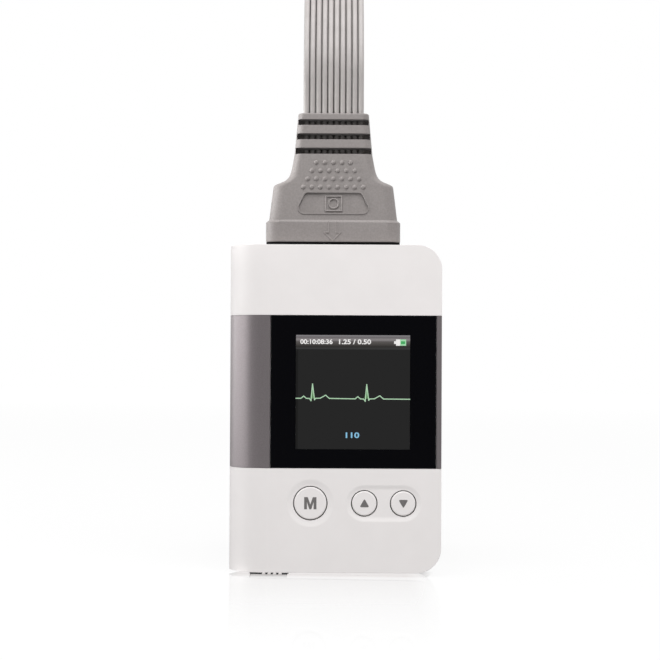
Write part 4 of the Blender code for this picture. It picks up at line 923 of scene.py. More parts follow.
lens_frame = add_block("lens_frame", (LENS_LEFT, -HALF_DEPTH, LENS_LOW),
                       (LENS_RIGHT, LENS_BACK, LENS_HIGH))
pick(lens_frame, "EDGE", lambda ends: all(p.y < -HALF_DEPTH + NEAR for p in ends))
bevel_picked(LENS_EDGE, 3)
cut(lens_frame, window_block("window_hole", HOLE_FRONT, HOLE_BACK))
smooth_off(lens_frame)
fit(lens_frame, black_acrylic, "black_lens", "recorder", "display_lens")
window = window_block("display_window", -HALF_DEPTH, LENS_BACK - PANE_INSET)
fit(window, clear_acrylic, "display_glass", "recorder")
print("lens, mm:", round(LENS_RIGHT - LENS_LEFT, 2), "by", round(LENS_HIGH - LENS_LOW, 2))

# %% [markdown]
# The display is a colour panel of 128 by 128 dots, so the picture on it is laid out in dots from
# its top left corner. Each part of the picture is a thin glowing slab: a dark ground, a header
# with a soft gradient, plain numbers, a battery mark, a heart trace and a blue number.

# %% Display picture
SCREEN, DOTS, LAYER, PANEL_FRONT = 27.03, 128, 0.02, -8.42
DOT = SCREEN / DOTS
SCREEN_LEFT, SCREEN_TOP = DISPLAY_X - SCREEN / 2, DISPLAY_Z + SCREEN / 2
HEADER_TALL, EDGE_SHADE = 16, 2.4


def glow(name, code):
    """A lit colour: it shows as written and reflects nothing."""
    finish, tree, shader = new_finish(name, "000000", 0.6, Specular_IOR_Level=0.0,
                                      Emission_Strength=1.0)
    shader.inputs["Emission Color"].default_value = colour(code)
    finish.diffuse_color = colour(code)
    return finish


def on_screen(piece, finish):
    return fit(piece, finish, "display_glass", "recorder")


def screen_block(name, left, top, right, bottom, layer):
    """A slab between dots, a layer or more in front of the panel."""
    front = PANEL_FRONT - layer * LAYER
    return add_block(name, (SCREEN_LEFT + left * DOT, front, SCREEN_TOP - bottom * DOT),
                     (SCREEN_LEFT + right * DOT, front + LAYER, SCREEN_TOP - top * DOT))


on_screen(screen_block("screen_ground", 0, 0, DOTS, DOTS, 0), glow("lit_dark_ground", "272727"))
on_screen(screen_block("screen_left_edge", 0, HEADER_TALL, EDGE_SHADE, DOTS, 1),
          glow("lit_edge_shade", "1F1F1F"))
print("a dot, mm:", round(DOT, 3))

# %% [markdown]
# The header is a bar with a printed-looking gradient: light at its top, darker below. The tones
# follow height, so one ramp draws them all.

# %% Header with a gradient
HEADER_TONES = ((0.0, "8A878A"), (0.16, "6E6A6C"), (0.3, "8C8788"), (0.38, "7E7A7B"),
                (0.45, "5D5958"), (0.65, "4A4745"), (0.8, "333130"), (0.93, "3A3A3A"))
header_glow = glow("lit_header", "8A8585")
tree = header_glow.node_tree
place = add_node(tree, "TexCoord").outputs["Object"]
height = add_node(tree, "SeparateXYZ", Vector=place).outputs["Z"]
share = add_node(tree, "MapRange", {"From Min": SCREEN_TOP * mm,
                                    "From Max": (SCREEN_TOP - HEADER_TALL * DOT) * mm}, Value=height)
ramp = add_node(tree, "ValToRGB", Fac=share.outputs["Result"])
fill_ramp(ramp, [(position, colour(code)) for position, code in HEADER_TONES])
tree.links.new(ramp.outputs["Color"], tree.nodes["Principled BSDF"].inputs["Emission Color"])
on_screen(screen_block("screen_header", 0, 0, DOTS, HEADER_TALL, 1), header_glow)
print("tones in the header:", len(HEADER_TONES))

# %% [markdown]
# Plain numbers fill the header and the foot of the display. Each is drawn as text, made a mesh,
# and fitted to a box in dots, because a display's own letters are narrower than the ones here.

# %% Numbers on the display
LETTER_SIZE, NUMBER_LAYER = 10.0, 3
white_glow = glow("lit_white", "F4F2F1")
blue_glow = glow("lit_blue", "8CC6E6")


def screen_number(name, words, left, top, tall, wide, finish, weight):
    """Plain numbers on the display, fitted to a box given in dots."""
    clear_selection()
    bpy.ops.object.text_add(rotation=(math.pi / 2, 0, 0))
    made = bpy.context.object
    made.data.body = words
    made.data.size = LETTER_SIZE * mm
    made.data.offset = weight * mm
    made.data.resolution_u = 4
    bpy.ops.object.convert(target="MESH")
    made = started(name)
    xs = [v.co.x for v in made.data.vertices]
    zs = [v.co.z for v in made.data.vertices]
    across = wide * DOT * mm / (max(xs) - min(xs))
    up = tall * DOT * mm / (max(zs) - min(zs))
    made.scale = (across, 1.0, up)
    made.location = ((SCREEN_LEFT + left * DOT) * mm - min(xs) * across,
                     (PANEL_FRONT - NUMBER_LAYER * LAYER) * mm,
                     (SCREEN_TOP - (top + tall) * DOT) * mm - min(zs) * up)
    return on_screen(settle(made), finish)


screen_number("screen_clock", "00:10:08:36", 4.7, 4.6, 5.6, 36.4, white_glow, 0.3)
screen_number("screen_count", "1.25 / 0.50", 48.2, 4.6, 5.6, 36.0, white_glow, 0.3)
rate = screen_number("screen_rate", "110", 56.2, 109.0, 6.4, 15.2, blue_glow, 0.25)
print("faces in the rate:", len(rate.data.polygons))

# %% [markdown]
# The battery mark is a nub, a white part, a pale green rim and the charge inside it. A picture
# on the panel could show it too, but small slabs keep their edges sharp in a close view.

# %% Battery mark
BATTERY = (("battery_nub", (110.0, 6.6, 112.2, 9.6), 2, white_glow),
           ("battery_white", (112.2, 4.5, 116.9, 11.6), 2, white_glow),
           ("battery_rim", (116.9, 4.5, 123.6, 11.6), 2, glow("lit_pale_green", "A6DDB0")),
           ("battery_charge", (117.6, 6.6, 122.4, 9.8), 3, glow("lit_green", "4BAE66")))
for name, edges, layer, finish in BATTERY:
    on_screen(screen_block(name, *edges, layer), finish)
print("slabs in the battery mark:", len(BATTERY))

# %% [markdown]
# The heart trace is one line of even width: a slab is laid from point to point and the slabs
# are joined. One beat is written once and used twice. Each peak has a dim green fill behind it,
# as the panel smears a steep line.

# %% Heart trace
BASELINE, TRACE_WIDE = 71.05, 1.1
BEAT_STARTS, SECOND_DROP, END_DROP = (0.0, 60.8), 0.4, 0.6
BEAT = ((5.8, 0.0), (8.8, -2.5), (11.7, 0.0), (15.3, 0.2), (17.1, 2.6), (18.7, -16.0), (21.0, 1.5),
        (22.3, 0.0), (27.4, -0.2), (33.5, -3.6), (37.6, 0.0))
PEAK_LEFT, PEAK_RIGHT, PEAK_RISE, PEAK_FOOT = 16.3, 20.8, 14.5, 0.2
trace_points = [(0.0, BASELINE)]
for start in BEAT_STARTS:
    drop = SECOND_DROP if start else 0.0
    trace_points += [(start + x, BASELINE + y + drop) for x, y in BEAT]
trace_points.append((DOTS, BASELINE + END_DROP))


def gather(name, pieces):
    """Join several pieces into one object."""
    clear_selection()
    for piece in pieces:
        piece.select_set(True)
    bpy.context.view_layer.objects.active = pieces[0]
    bpy.ops.object.join()
    pieces[0].name = name
    pieces[0].data.name = name
    return pieces[0]


def trace_strip(name, points, width, layer, finish):
    """A line of even width through points in dots, drawn up edge by edge from one block."""
    corner = Vector((SCREEN_LEFT, 0, SCREEN_TOP)) * mm
    parts = []
    for (x0, y0), (x1, y1) in zip(points, points[1:]):
        length = math.hypot(x1 - x0, y1 - y0)
        part = screen_block("part", -width / 2, -width / 2, length + width / 2, width / 2, layer)
        turn = Matrix.Rotation(math.atan2(y1 - y0, x1 - x0), 4, "Y")
        move = Matrix.Translation(Vector((x0 * DOT, 0, -y0 * DOT)) * mm)
        part.matrix_world = move @ Matrix.Translation(corner) @ turn @ Matrix.Translation(-corner)
        parts.append(settle(part))
    return on_screen(gather(name, parts), finish)


trace_strip("heart_trace", trace_points, TRACE_WIDE, 2, glow("lit_trace", "B4D8B6"))
for number, start in enumerate(BEAT_STARTS, 1):
    left, right = start + PEAK_LEFT, start + PEAK_RIGHT
    peak = screen_block("peak_fill_" + str(number), left, BASELINE - PEAK_RISE, right,
                        BASELINE + PEAK_FOOT, 1)
    foot = SCREEN_TOP - (BASELINE + PEAK_FOOT) * DOT
    for side, edge in ((-1, left), (1, right)):
        lean = Vector((side * (PEAK_RISE + PEAK_FOOT), 0, (right - left) / 2)).normalized()
        slice_off(peak, (SCREEN_LEFT + edge * DOT, 0, foot), lean)
    on_screen(peak, glow("lit_peak_" + str(number), "618B5C"))
print("points on the trace:", len(trace_points))

# %% [markdown]
# ## Keys
#
# Each key is a hard grey-white cap that stands a little below the case's face. It is a short
# rod with a rounded rim, and its mark is a thin inlay.

# %% Key caps
KEY_BODIES = {"mode_button": ("mode_key", MODE_KEY), "up_button": ("up_key", UP_KEY),
              "down_button": ("down_key", DOWN_KEY)}
KEY_FACE, KEY_BACK, CAP_GAP, CAP_EDGE = -9.4, -6.9, 0.2, 0.3
for node, (body, (x, diameter)) in KEY_BODIES.items():
    cap = add_rod(body + "_cap", diameter / 2 - CAP_GAP, KEY_FACE, KEY_BACK, (x, 0, KEY_Z), "Y", ROUND)
    pick(cap, "EDGE", lambda ends: all(p.y < KEY_FACE + NEAR for p in ends))
    bevel_picked(CAP_EDGE, 4)
    smooth_off(cap)
    fit(cap, white_abs, "white_plastic", body, node)
print("key caps:", len(KEY_BODIES))

# %% [markdown]
# The two small keys carry triangles. A three-sided rod with bevelled edges gives one with soft
# points, and the lower key's is the same shape turned over by a negative scale, so its faces
# are turned outwards again afterwards.

# %% Triangles on two keys
MARK_THICK, MARK_WIDE, MARK_TALL, MARK_ROUND = 0.05, 1.98, 1.8, 0.3
MARK_RIGHT, MARK_DROP = 0.05, 0.22


def place_mark(mark, body):
    """Ink a mark and let it ride on its key."""
    settle(mark)
    paint(mark, mark_ink)
    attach(mark, body)


for body, (x, diameter), up in (("up_key", UP_KEY, 1), ("down_key", DOWN_KEY, -1)):
    clear_selection()
    bpy.ops.mesh.primitive_cylinder_add(vertices=3, radius=mm, depth=MARK_THICK * mm,
                                        rotation=(math.pi / 2, 0, 0))
    mark = started(body + "_mark")
    pick(mark, "EDGE", runs_along("y"))
    bevel_picked(MARK_ROUND, 5)
    low = min(v.co.z for v in mark.data.vertices) / mm
    high = max(v.co.z for v in mark.data.vertices) / mm
    wide = max(v.co.x for v in mark.data.vertices) / mm * 2
    mark.scale = (MARK_WIDE / wide, 1.0, up * MARK_TALL / (high - low))
    mark.location = ((x + MARK_RIGHT) * mm, KEY_FACE * mm, (KEY_Z - up * MARK_DROP) * mm)
    place_mark(mark, body)
    only(mark)
    bpy.ops.object.mode_set(mode="EDIT")
    bpy.ops.mesh.select_all(action="SELECT")
    bpy.ops.mesh.normals_make_consistent(inside=False)
    bpy.ops.object.mode_set(mode="OBJECT")
    print(mark.name, "faces:", len(mark.data.polygons))

# %% [markdown]
# The letter on the round key is one slab with three notches: a V from above, and a slanted one
# on each side of it from below.

# %% The letter on the round key
LETTER_HALF, LETTER_RISE, STEM = 1.45, 1.43, 0.66
V_POINT, V_LEAN = 0.3, (1.73, -0.6)
LEG_MIDDLE, LEG_FOOT, LEG_LEAN = 0.05, 0.31, (-1.75, 0.48)
CLEAR = 2 * OVERRUN
x, z = MODE_KEY[0], KEY_Z
letter = add_block("mode_key_mark", (x - LETTER_HALF, KEY_FACE - MARK_THICK / 2, z - LETTER_RISE),
                   (x + LETTER_HALF, KEY_FACE + MARK_THICK / 2, z + LETTER_RISE))
notch = add_block("notch", (x - OVERRUN, KEY_FACE - OVERRUN, z - 2 * V_POINT),
                  (x + OVERRUN, KEY_FACE + OVERRUN, z + CLEAR))
for side in (-1, 1):
    slice_off(notch, (x, 0, z - V_POINT), Vector((side * V_LEAN[0], 0, V_LEAN[1])).normalized())
cut(letter, notch)
for side in (-1, 1):
    low, high = sorted((x + side * (LETTER_HALF - STEM), x + side * LEG_MIDDLE))
    notch = add_block("notch", (low, KEY_FACE - OVERRUN, z - CLEAR),
                      (high, KEY_FACE + OVERRUN, z + CLEAR))
    slice_off(notch, (x + side * LEG_FOOT, 0, z - LETTER_RISE),
              Vector((side * LEG_LEAN[0], 0, LEG_LEAN[1])).normalized())
    cut(letter, notch)
place_mark(letter, "mode_key")
print("letter faces:", len(letter.data.polygons))

# %% [markdown]
# ## Plug
#
# The plug is soft PVC moulded over the connector: a skirt, a body that leans back a little,
# round shoulders, and a ribbed boot. It starts as one rounded rectangle, drawn up step by step
# through its sections, each a height over the case and a width.

# %% Overmould sections
SKIRT_WIDE, SKIRT_DEEP, SKIRT_CORNER = 32.2, 13.0, 3.1
SKIRT_LOW, SKIRT_TOP, PLUG_HEIGHT, END_WIDE = 0.15, 5.5, 31.2, 16.94
FACE_DEEP, END_DEEP, END_EDGE = 12.0, 8.8, 0.3
SECTIONS = ((4.85, 32.2), (5.45, 30.75), (7.0, 30.36), (10.0, 29.65), (12.7, 28.96), (13.3, 28.8),
            (13.62, 28.6), (13.85, 28.2), (14.05, 27.5), (14.25, 26.6), (14.5, 25.4), (14.8, 23.9),
            (15.15, 22.75), (15.6, 21.8), (16.2, 21.05), (17.0, 20.42), (18.0, 19.92), (19.3, 19.4),
            (21.2, 18.74), (24.5, 18.15), (28.0, 17.5), (PLUG_HEIGHT, END_WIDE))


def plug_face(height):
    """Half depth of the plug at a height over its underside."""
    share = (height - SKIRT_TOP) / (PLUG_HEIGHT - SKIRT_TOP)
    return (FACE_DEEP + (END_DEEP - FACE_DEEP) * share) / 2


clear_selection()
bpy.ops.mesh.primitive_plane_add(size=1, location=(PLUG_X * mm, 0, (PLUG_BOTTOM + SKIRT_LOW) * mm))
bpy.context.object.scale = (SKIRT_WIDE * mm, SKIRT_DEEP * mm, 1)
plug = started("plug_body")
only(plug)
bpy.ops.object.mode_set(mode="EDIT")
bpy.ops.mesh.select_all(action="SELECT")
bpy.ops.mesh.bevel(offset=SKIRT_CORNER * mm, segments=10, affect="VERTICES")
bpy.ops.mesh.select_all(action="SELECT")
level, width, depth = SKIRT_LOW, SKIRT_WIDE, SKIRT_DEEP
for height, wide in SECTIONS:
    deep = SKIRT_DEEP if wide == SKIRT_WIDE else 2 * plug_face(height)
    bpy.ops.mesh.extrude_region_move(
        TRANSFORM_OT_translate={"value": (0, 0, (height - level) * mm)})
    bpy.ops.transform.resize(value=(wide / width, deep / depth, 1),
                             center_override=(PLUG_X * mm, 0, (PLUG_BOTTOM + height) * mm))
    level, width, depth = height, wide, deep
bpy.ops.object.mode_set(mode="OBJECT")
smooth_off(plug)
plug_ends = (PLUG_BOTTOM + SKIRT_LOW, PLUG_BOTTOM + PLUG_HEIGHT)
pick(plug, "EDGE", lambda ends: any(all(abs(p.z - end) < NEAR for p in ends) for end in plug_ends))
bevel_picked(END_EDGE, 4)
print("plug body faces:", len(plug.data.polygons))

# %% [markdown]
# Three slots cross the boot, front and back, down to the leads, so the boot bends with them. A
# thin web stays between the leads and at each end. A pocket under the plug takes the metal nose
# of the connector.

# %% Relief slots and nose pocket
SLOTS = ((21.35, 1.5), (24.86, 1.47), (28.33, 1.4))
BOOT_LOW, BOOT_WIDE, SLOT_RISE = 21.2, 18.74, 0.65
END_WEB, MIDDLE_WEB, SLOT_REACH = 0.22, 0.15, 7.0
NOSE_LEFT, NOSE_RIGHT, NOSE_DEEP, NOSE_TOP = -13.75, 12.35, 3.05, 81.05


def nose_block(name, low, high):
    """Room for the metal nose of the connector, between two heights."""
    return add_block(name, (NOSE_LEFT, -NOSE_DEEP, low), (NOSE_RIGHT, NOSE_DEEP, high))


for height, tall in SLOTS:
    share = (height + SLOT_RISE - BOOT_LOW) / (PLUG_HEIGHT - BOOT_LOW)
    half = (BOOT_WIDE + (END_WIDE - BOOT_WIDE) * share) / 2 - END_WEB
    for side in (-1, 1):
        near, far = sorted((side * MIDDLE_WEB, side * SLOT_REACH))
        cut(plug, add_block("slot", (PLUG_X - half, near, PLUG_BOTTOM + height),
                            (PLUG_X + half, far, PLUG_BOTTOM + height + tall)))
cut(plug, nose_block("nose_pocket", PLUG_BOTTOM - OVERRUN, NOSE_TOP))
print("relief slots:", 2 * len(SLOTS))

# %% [markdown]
# The front of the plug has a shallow panel with slanted ends. It is one outline used twice: grown
# by a margin and joined on, it leaves a low rim, and at its own size it cuts the panel.

# %% The panel on the leaning face
LEAN = math.atan((FACE_DEEP - END_DEEP) / 2 / (PLUG_HEIGHT - SKIRT_TOP))
PANEL_LOW, PANEL_HIGH, PANEL_WIDE, PANEL_WAIST = 7.1, 11.98, 8.45, -1.15
PANEL_DEEP, PANEL_CORNER, PANEL_RIM, SIDE_GROWTH = 0.4, 0.6, 0.3, 1.12
LOWER_CUT, UPPER_CUT = (1.25, -0.75), (3.8, 1.85)
RIM_FRONT, RIM_BACK, PLUG_EDGE = -0.2, 0.6, 0.09


def fuse(piece, tool):
    return combine(piece, tool, "UNION")


def onto_plug_face(piece, across, height, out=0.0):
    """Turn a piece made at the origin, facing -Y, onto the plug's leaning face."""
    piece.rotation_euler = (-LEAN, 0, 0)
    piece.location = ((PLUG_X + across) * mm, (-plug_face(height) - out) * mm,
                      (PLUG_BOTTOM + height) * mm)
    return settle(piece)


def panel_shape(name, grow, front, back):
    """The outline of the panel as a slab on the plug's face, grown by a margin."""
    half = (PANEL_HIGH - PANEL_LOW) / 2 + grow
    wide = PANEL_WIDE + grow * SIDE_GROWTH
    piece = add_block(name, (-wide, front, -half), (wide, back, half))
    for side in (-1, 1):
        for across, up in (LOWER_CUT, UPPER_CUT):
            slice_off(piece, (side * wide, 0, PANEL_WAIST), Vector((side * across, 0, up)).normalized())
    pick(piece, "EDGE", runs_along("y"))
    bevel_picked(PANEL_CORNER + grow, 5)
    return onto_plug_face(piece, 0.0, (PANEL_LOW + PANEL_HIGH) / 2)


fuse(plug, panel_shape("panel_rim", PANEL_RIM, RIM_FRONT, RIM_BACK))
cut(plug, panel_shape("panel_tool", 0.0, -OVERRUN, PANEL_DEEP))
smooth_off(plug, PLUG_EDGE, 40)
fit(plug, soft_pvc, "grey_overmould", "lead_plug", "plug_overmould")
print("plug faces with slots and panel:", len(plug.data.polygons))

# %% [markdown]
# Rows of small domes give the thumb a hold. They are moulded with the plug, but a joined mesh
# would need a cut for each, so one dome is made and copied onto the leaning face, half sunk.

# %% Thumb domes
DOME_RADIUS, DOME_FLATNESS, DOME_COUNTS = 0.56, 0.68, (8, 7, 6, 5)
DOME_LOW, DOME_PITCH, DOME_ROW = 13.35, 2.05, 1.97
clear_selection()
bpy.ops.mesh.primitive_uv_sphere_add(segments=24, ring_count=12, radius=DOME_RADIUS * mm)
bpy.context.object.scale = (1.0, DOME_FLATNESS, 1.0)
dome = started("dome")
domes = []
for row, count in enumerate(DOME_COUNTS):
    for i in range(count):
        across = (i - (count - 1) / 2) * DOME_PITCH
        domes.append(onto_plug_face(copy_of(dome, "dome_copy"), across, DOME_LOW + row * DOME_ROW))
bpy.data.objects.remove(dome)
print("thumb domes:", len(domes))
thumb_domes = gather("plug_thumb_domes", domes)
only(thumb_domes)
bpy.ops.object.shade_smooth()
fit(thumb_domes, soft_pvc, "grey_overmould", "lead_plug")

# %% [markdown]
# The raised marks are thin half-sunk beads: a square frame with a ring in the panel, and the
# outline of an arrow on the skirt that shows which way the plug goes in.

# %% Raised frame, ring and arrow
FRAME_HALF, FRAME_RISE, FRAME_BEAD = 1.9, 1.75, 0.23
PANEL_RING, RING_BEAD, MARK_LIFT = 1.15, 0.22, 0.1
MARKS_ACROSS, MARKS_UP, ARROW_ACROSS, ARROW_BEAD = 0.12, 9.39, -0.17, 0.18
ARROW = ((-0.9, 5.0), (-0.9, 2.4), (-1.95, 2.4), (0.0, 0.42), (1.95, 2.4), (0.9, 2.4), (0.9, 5.0))


def bead(points, radius):
    """Round beads from point to point in a plane that faces -Y, in millimetres."""
    lap = radius * 0.4
    parts = []
    for (x0, z0), (x1, z1) in zip(points, points[1:]):
        length = math.hypot(x1 - x0, z1 - z0)
        part = add_rod("bead", radius, -lap, length + lap, (0, 0, 0), "Z", 16)
        part.matrix_world = (Matrix.Translation((x0 * mm, 0, z0 * mm))
                             @ Matrix.Rotation(math.atan2(x1 - x0, z1 - z0), 4, "Y"))
        parts.append(settle(part))
    return parts


corners = [(-FRAME_HALF, -FRAME_RISE), (FRAME_HALF, -FRAME_RISE), (FRAME_HALF, FRAME_RISE),
           (-FRAME_HALF, FRAME_RISE), (-FRAME_HALF, -FRAME_RISE)]
frame_beads = bead(corners, FRAME_BEAD)
clear_selection()
bpy.ops.mesh.primitive_torus_add(major_radius=PANEL_RING * mm, minor_radius=RING_BEAD * mm,
                                 major_segments=48, minor_segments=12, rotation=(math.pi / 2, 0, 0))
panel_marks = gather("plug_panel_marks", frame_beads + [started("ring")])
onto_plug_face(panel_marks, MARKS_ACROSS, MARKS_UP, MARK_LIFT - PANEL_DEEP)
arrow_marks = gather("plug_arrow", bead(ARROW, ARROW_BEAD))
arrow_marks.location = ((PLUG_X + ARROW_ACROSS) * mm, -SKIRT_DEEP / 2 * mm, PLUG_BOTTOM * mm)
settle(arrow_marks)
for piece in (panel_marks, arrow_marks):
    only(piece)
    bpy.ops.object.shade_smooth_by_angle(angle=math.radians(50))
    fit(piece, soft_pvc, "grey_overmould", "lead_plug")
print("beads in the arrow:", len(ARROW) - 1)

# %% [markdown]
# A thin black strip with almost no gloss lies under the skirt. It is painted shadow: it stands in for the
# shaded gap, and draws the dark line between the plug and the case.

# %% Painted shadow under the plug
SHADE_STRIP_WIDE, SHADE_STRIP_DEEP, SHADE_STRIP_CORNER, SHADE_STRIP_GAP, SHADE_STRIP_LAP = 32.0, 12.8, 2.9, 0.03, 0.02
# painted shadow: a near-black finish with almost no gloss, for the strip in the gap under the skirt
painted_shadow_black, tree, shader = new_finish("painted_shadow_black", "0C0C0D", 0.7, Specular_IOR_Level=0.1)
mottle(tree, shader, ("070708", "0C0C0D"), 0.6)
shade_strip = add_block("plug_shade_strip", (PLUG_X - SHADE_STRIP_WIDE / 2, -SHADE_STRIP_DEEP / 2, HEIGHT + SHADE_STRIP_GAP),
                 (PLUG_X + SHADE_STRIP_WIDE / 2, SHADE_STRIP_DEEP / 2, PLUG_BOTTOM + SKIRT_LOW + SHADE_STRIP_LAP))
pick(shade_strip, "EDGE", runs_along("z"))
bevel_picked(SHADE_STRIP_CORNER, 10)
cut(shade_strip, nose_block("shade_strip_hole", HEIGHT - OVERRUN, NOSE_TOP))
smooth_off(shade_strip, 0.05)
fit(shade_strip, painted_shadow_black, "dark_plastic", "lead_plug")
print("seal faces:", len(shade_strip.data.polygons))

# %% [markdown]
# ## The other moulded and stamped parts
#
# The rear shell, the door, the latch and what is inside are taken over from the CAD at the same
# place. A copy is merged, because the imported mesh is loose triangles, and gets its fine edge
# rounds and its finish.

# %% Merged copies with a finish


def dress(node, finish, slot_name, edge=0.0, name=None, degrees=30):
    """A merged copy of a CAD piece with rounded edges and a finish, in its place."""
    source = frame["nodes"][node]
    body = body_of(source)[0]
    made = copy_of(source, name or node + "_finished")
    made.parent = None
    made.matrix_world = Matrix.Identity(4)
    for key in list(made.keys()):
        del made[key]
    smooth_off(made, edge, degrees)
    return fit(made, finish, slot_name, body, node)


print("packed pieces:", len(frame["nodes"]))

# %% [markdown]
# The rear shell meets the front shell at the top, so its copy above the band is drawn down to
# the same height, and the thumb recess runs on into it.

# %% Rear shell
CAD_TOP = 78.0
rear_case = dress("rear_housing", white_abs, "white_plastic", 0.0, "rear_case")
cut(rear_case, add_block("thumb_recess", THUMB_LOW, THUMB_HIGH))
for corner in rear_case.data.vertices:
    if corner.co.z > BAND_HIGH * mm:
        corner.co.z -= (CAD_TOP - HEIGHT) * (corner.co.z - BAND_HIGH * mm) / (CAD_TOP - BAND_HIGH)
smooth_off(rear_case)
print("rear shell drawn down by, mm:", round(CAD_TOP - HEIGHT, 2))

# %% [markdown]
# The latch slides in a slot behind the thumb recess. A grey plate in the recess is painted shade that
# darkens it, and a dark frame in the slot is painted shade for its shadowed inside. Four white ribs on the
# dark latch give the thumb a hold; the dark between them is partly the latch's own plastic and partly
# painted shade in the grooves.

# %% Painted shade in the thumb recess and the slot, latch and its ribs
SHADE_PLATE_GAP, SHADE_PLATE_LAP, SHADE_PLATE_LOW, SHADE_PLATE_HIGH = 0.02, 0.06, 0.24, 0.35
SLOT_SHADE_GAP, SLOT_SHADE_INNER, SLOT_SHADE_LOW, SLOT_SHADE_HIGH = 0.02, 0.12, 0.38, 0.76
RIB_MIDDLE, RIB_PITCH, RIB_HALF, RIB_LOW, RIB_HIGH, RIB_EDGE = -15.05, 1.33, 0.37, 0.02, 0.35, 0.15
RIB_FRONT, RIB_BACK = LATCH_FRONT - 0.04, LATCH_BACK - 0.14


def latch_block(name, inset, low, high):
    """A block that fills the latch slot, but for an inset, between two heights."""
    return add_block(name, (LATCH_LEFT + inset, LATCH_FRONT + inset, low),
                     (LATCH_RIGHT - inset, LATCH_BACK - inset, high))


# painted shade: a thin grey plate that darkens the thumb recess
thumb_recess_shade_plate = add_block("thumb_recess_shade_plate", (THUMB_LOW[0] + SHADE_PLATE_GAP, THUMB_FRONT + SHADE_PLATE_GAP, SHADE_PLATE_LOW),
                       (THUMB_HIGH[0] - SHADE_PLATE_GAP, LATCH_FRONT - SHADE_PLATE_LAP, SHADE_PLATE_HIGH))
smooth_off(thumb_recess_shade_plate, 0.05)
fit(thumb_recess_shade_plate, shade_grey_pom, "white_plastic", "recorder")
dress("battery_door", white_abs, "white_plastic", 0.08, "battery_cover")
dress("battery_latch", dark_pbt, "dark_plastic", 0.08, "cover_latch")
# painted shade: a dark frame inside the latch slot, for its shadowed inside
slot_shade_liner = latch_block("latch_slot_shade", SLOT_SHADE_GAP, SLOT_SHADE_LOW, SLOT_SHADE_HIGH)
cut(slot_shade_liner, latch_block("slot_shade_hole", SLOT_SHADE_INNER, -OVERRUN, SLOT_SHADE_HIGH + OVERRUN))
smooth_off(slot_shade_liner, 0.02)
fit(slot_shade_liner, dark_pbt, "dark_plastic", "recorder")
ribs = []
for place in (-1.5, -0.5, 0.5, 1.5):
    x = RIB_MIDDLE + place * RIB_PITCH
    rib = add_block("rib", (x - RIB_HALF, RIB_FRONT, RIB_LOW), (x + RIB_HALF, RIB_BACK, RIB_HIGH))
    pick(rib, "EDGE", lambda ends: all(p.z < RIB_LOW + NEAR for p in ends) and runs_along("y")(ends))
    bevel_picked(RIB_EDGE, 3)
    ribs.append(rib)
# white ribs over the dark latch: the dark between them is partly painted shade in the grooves
latch_ribs = gather("latch_ribs", ribs)
smooth_off(latch_ribs)
fit(latch_ribs, white_abs, "dark_plastic", "latch")
print("ribs on the latch:", len(ribs))

# %% [markdown]
# The rest keeps its shape from the CAD and gets its real finish: the band at the back, the
# connector, the switches, the board and the contacts. The socket's rim is trimmed, so that it
# stays below the case top.

# %% Band at the back, connector, board and contacts
SOCKET_GAP = 0.06
dress("rear_band", silver_paint, "grey_band", BAND_EDGE, "band_back")
dress("door_band", silver_paint, "grey_band", BAND_EDGE, "band_cover")
socket = dress("lead_socket", dark_pbt, "dark_plastic", 0.05)
slice_off(socket, (0, 0, HEIGHT - SOCKET_GAP), (0, 0, 1))
for node in ("display_module", "plug_insert", "display_frame", "mode_switch", "up_switch",
             "down_switch", "buzzer", "memory_card"):
    dress(node, dark_pbt, "dark_plastic", 0.05)
for node in ("door_hinge_pin", "battery_spring", "spring_plate", "top_plate", "card_socket",
             "backup_cell", "amplifier_shield", "case_screw_1", "case_screw_2", "case_screw_3",
             "case_screw_4"):
    dress(node, bright_steel, "steel")
dress("main_board", board_green, "board")
dress("display_flex", amber_film, "flex_film")

# %% [markdown]
# The cell has a plain printed wrap, dark with a copper-coloured top, between its steel ends. The
# colours follow the cell's own height in sharp steps.

# %% Battery cell
CELL_LOW, CELL_HIGH = 9.3, 59.8
CELL_TONES = ((0.0, "C8C6C2"), (0.02, "2A2B2F"), (0.69, "D8D6D2"), (0.7, "A9632F"), (0.96, "C8C6C2"))
cell_wrap, tree, shader = new_finish("printed_cell_wrap", "2A2B2F", 0.35, IOR=1.5)
place = add_node(tree, "TexCoord").outputs["Object"]
height = add_node(tree, "SeparateXYZ", Vector=place).outputs["Z"]
share = add_node(tree, "MapRange", {"From Min": CELL_LOW * mm, "From Max": CELL_HIGH * mm}, Value=height)
ramp = add_node(tree, "ValToRGB", Fac=share.outputs["Result"])
ramp.color_ramp.interpolation = "CONSTANT"
fill_ramp(ramp, [(position, colour(code)) for position, code in CELL_TONES])
tree.links.new(ramp.outputs["Color"], shader.inputs["Base Color"])
dress("battery_cell", cell_wrap, "cell_wrap")
print("cell, mm:", round(CELL_HIGH - CELL_LOW, 1))

# %% [markdown]
# Each lead ends in a different place on the chest, so each snap carries a coloured ring. The
# colours are the common code for leads and stand for no maker.

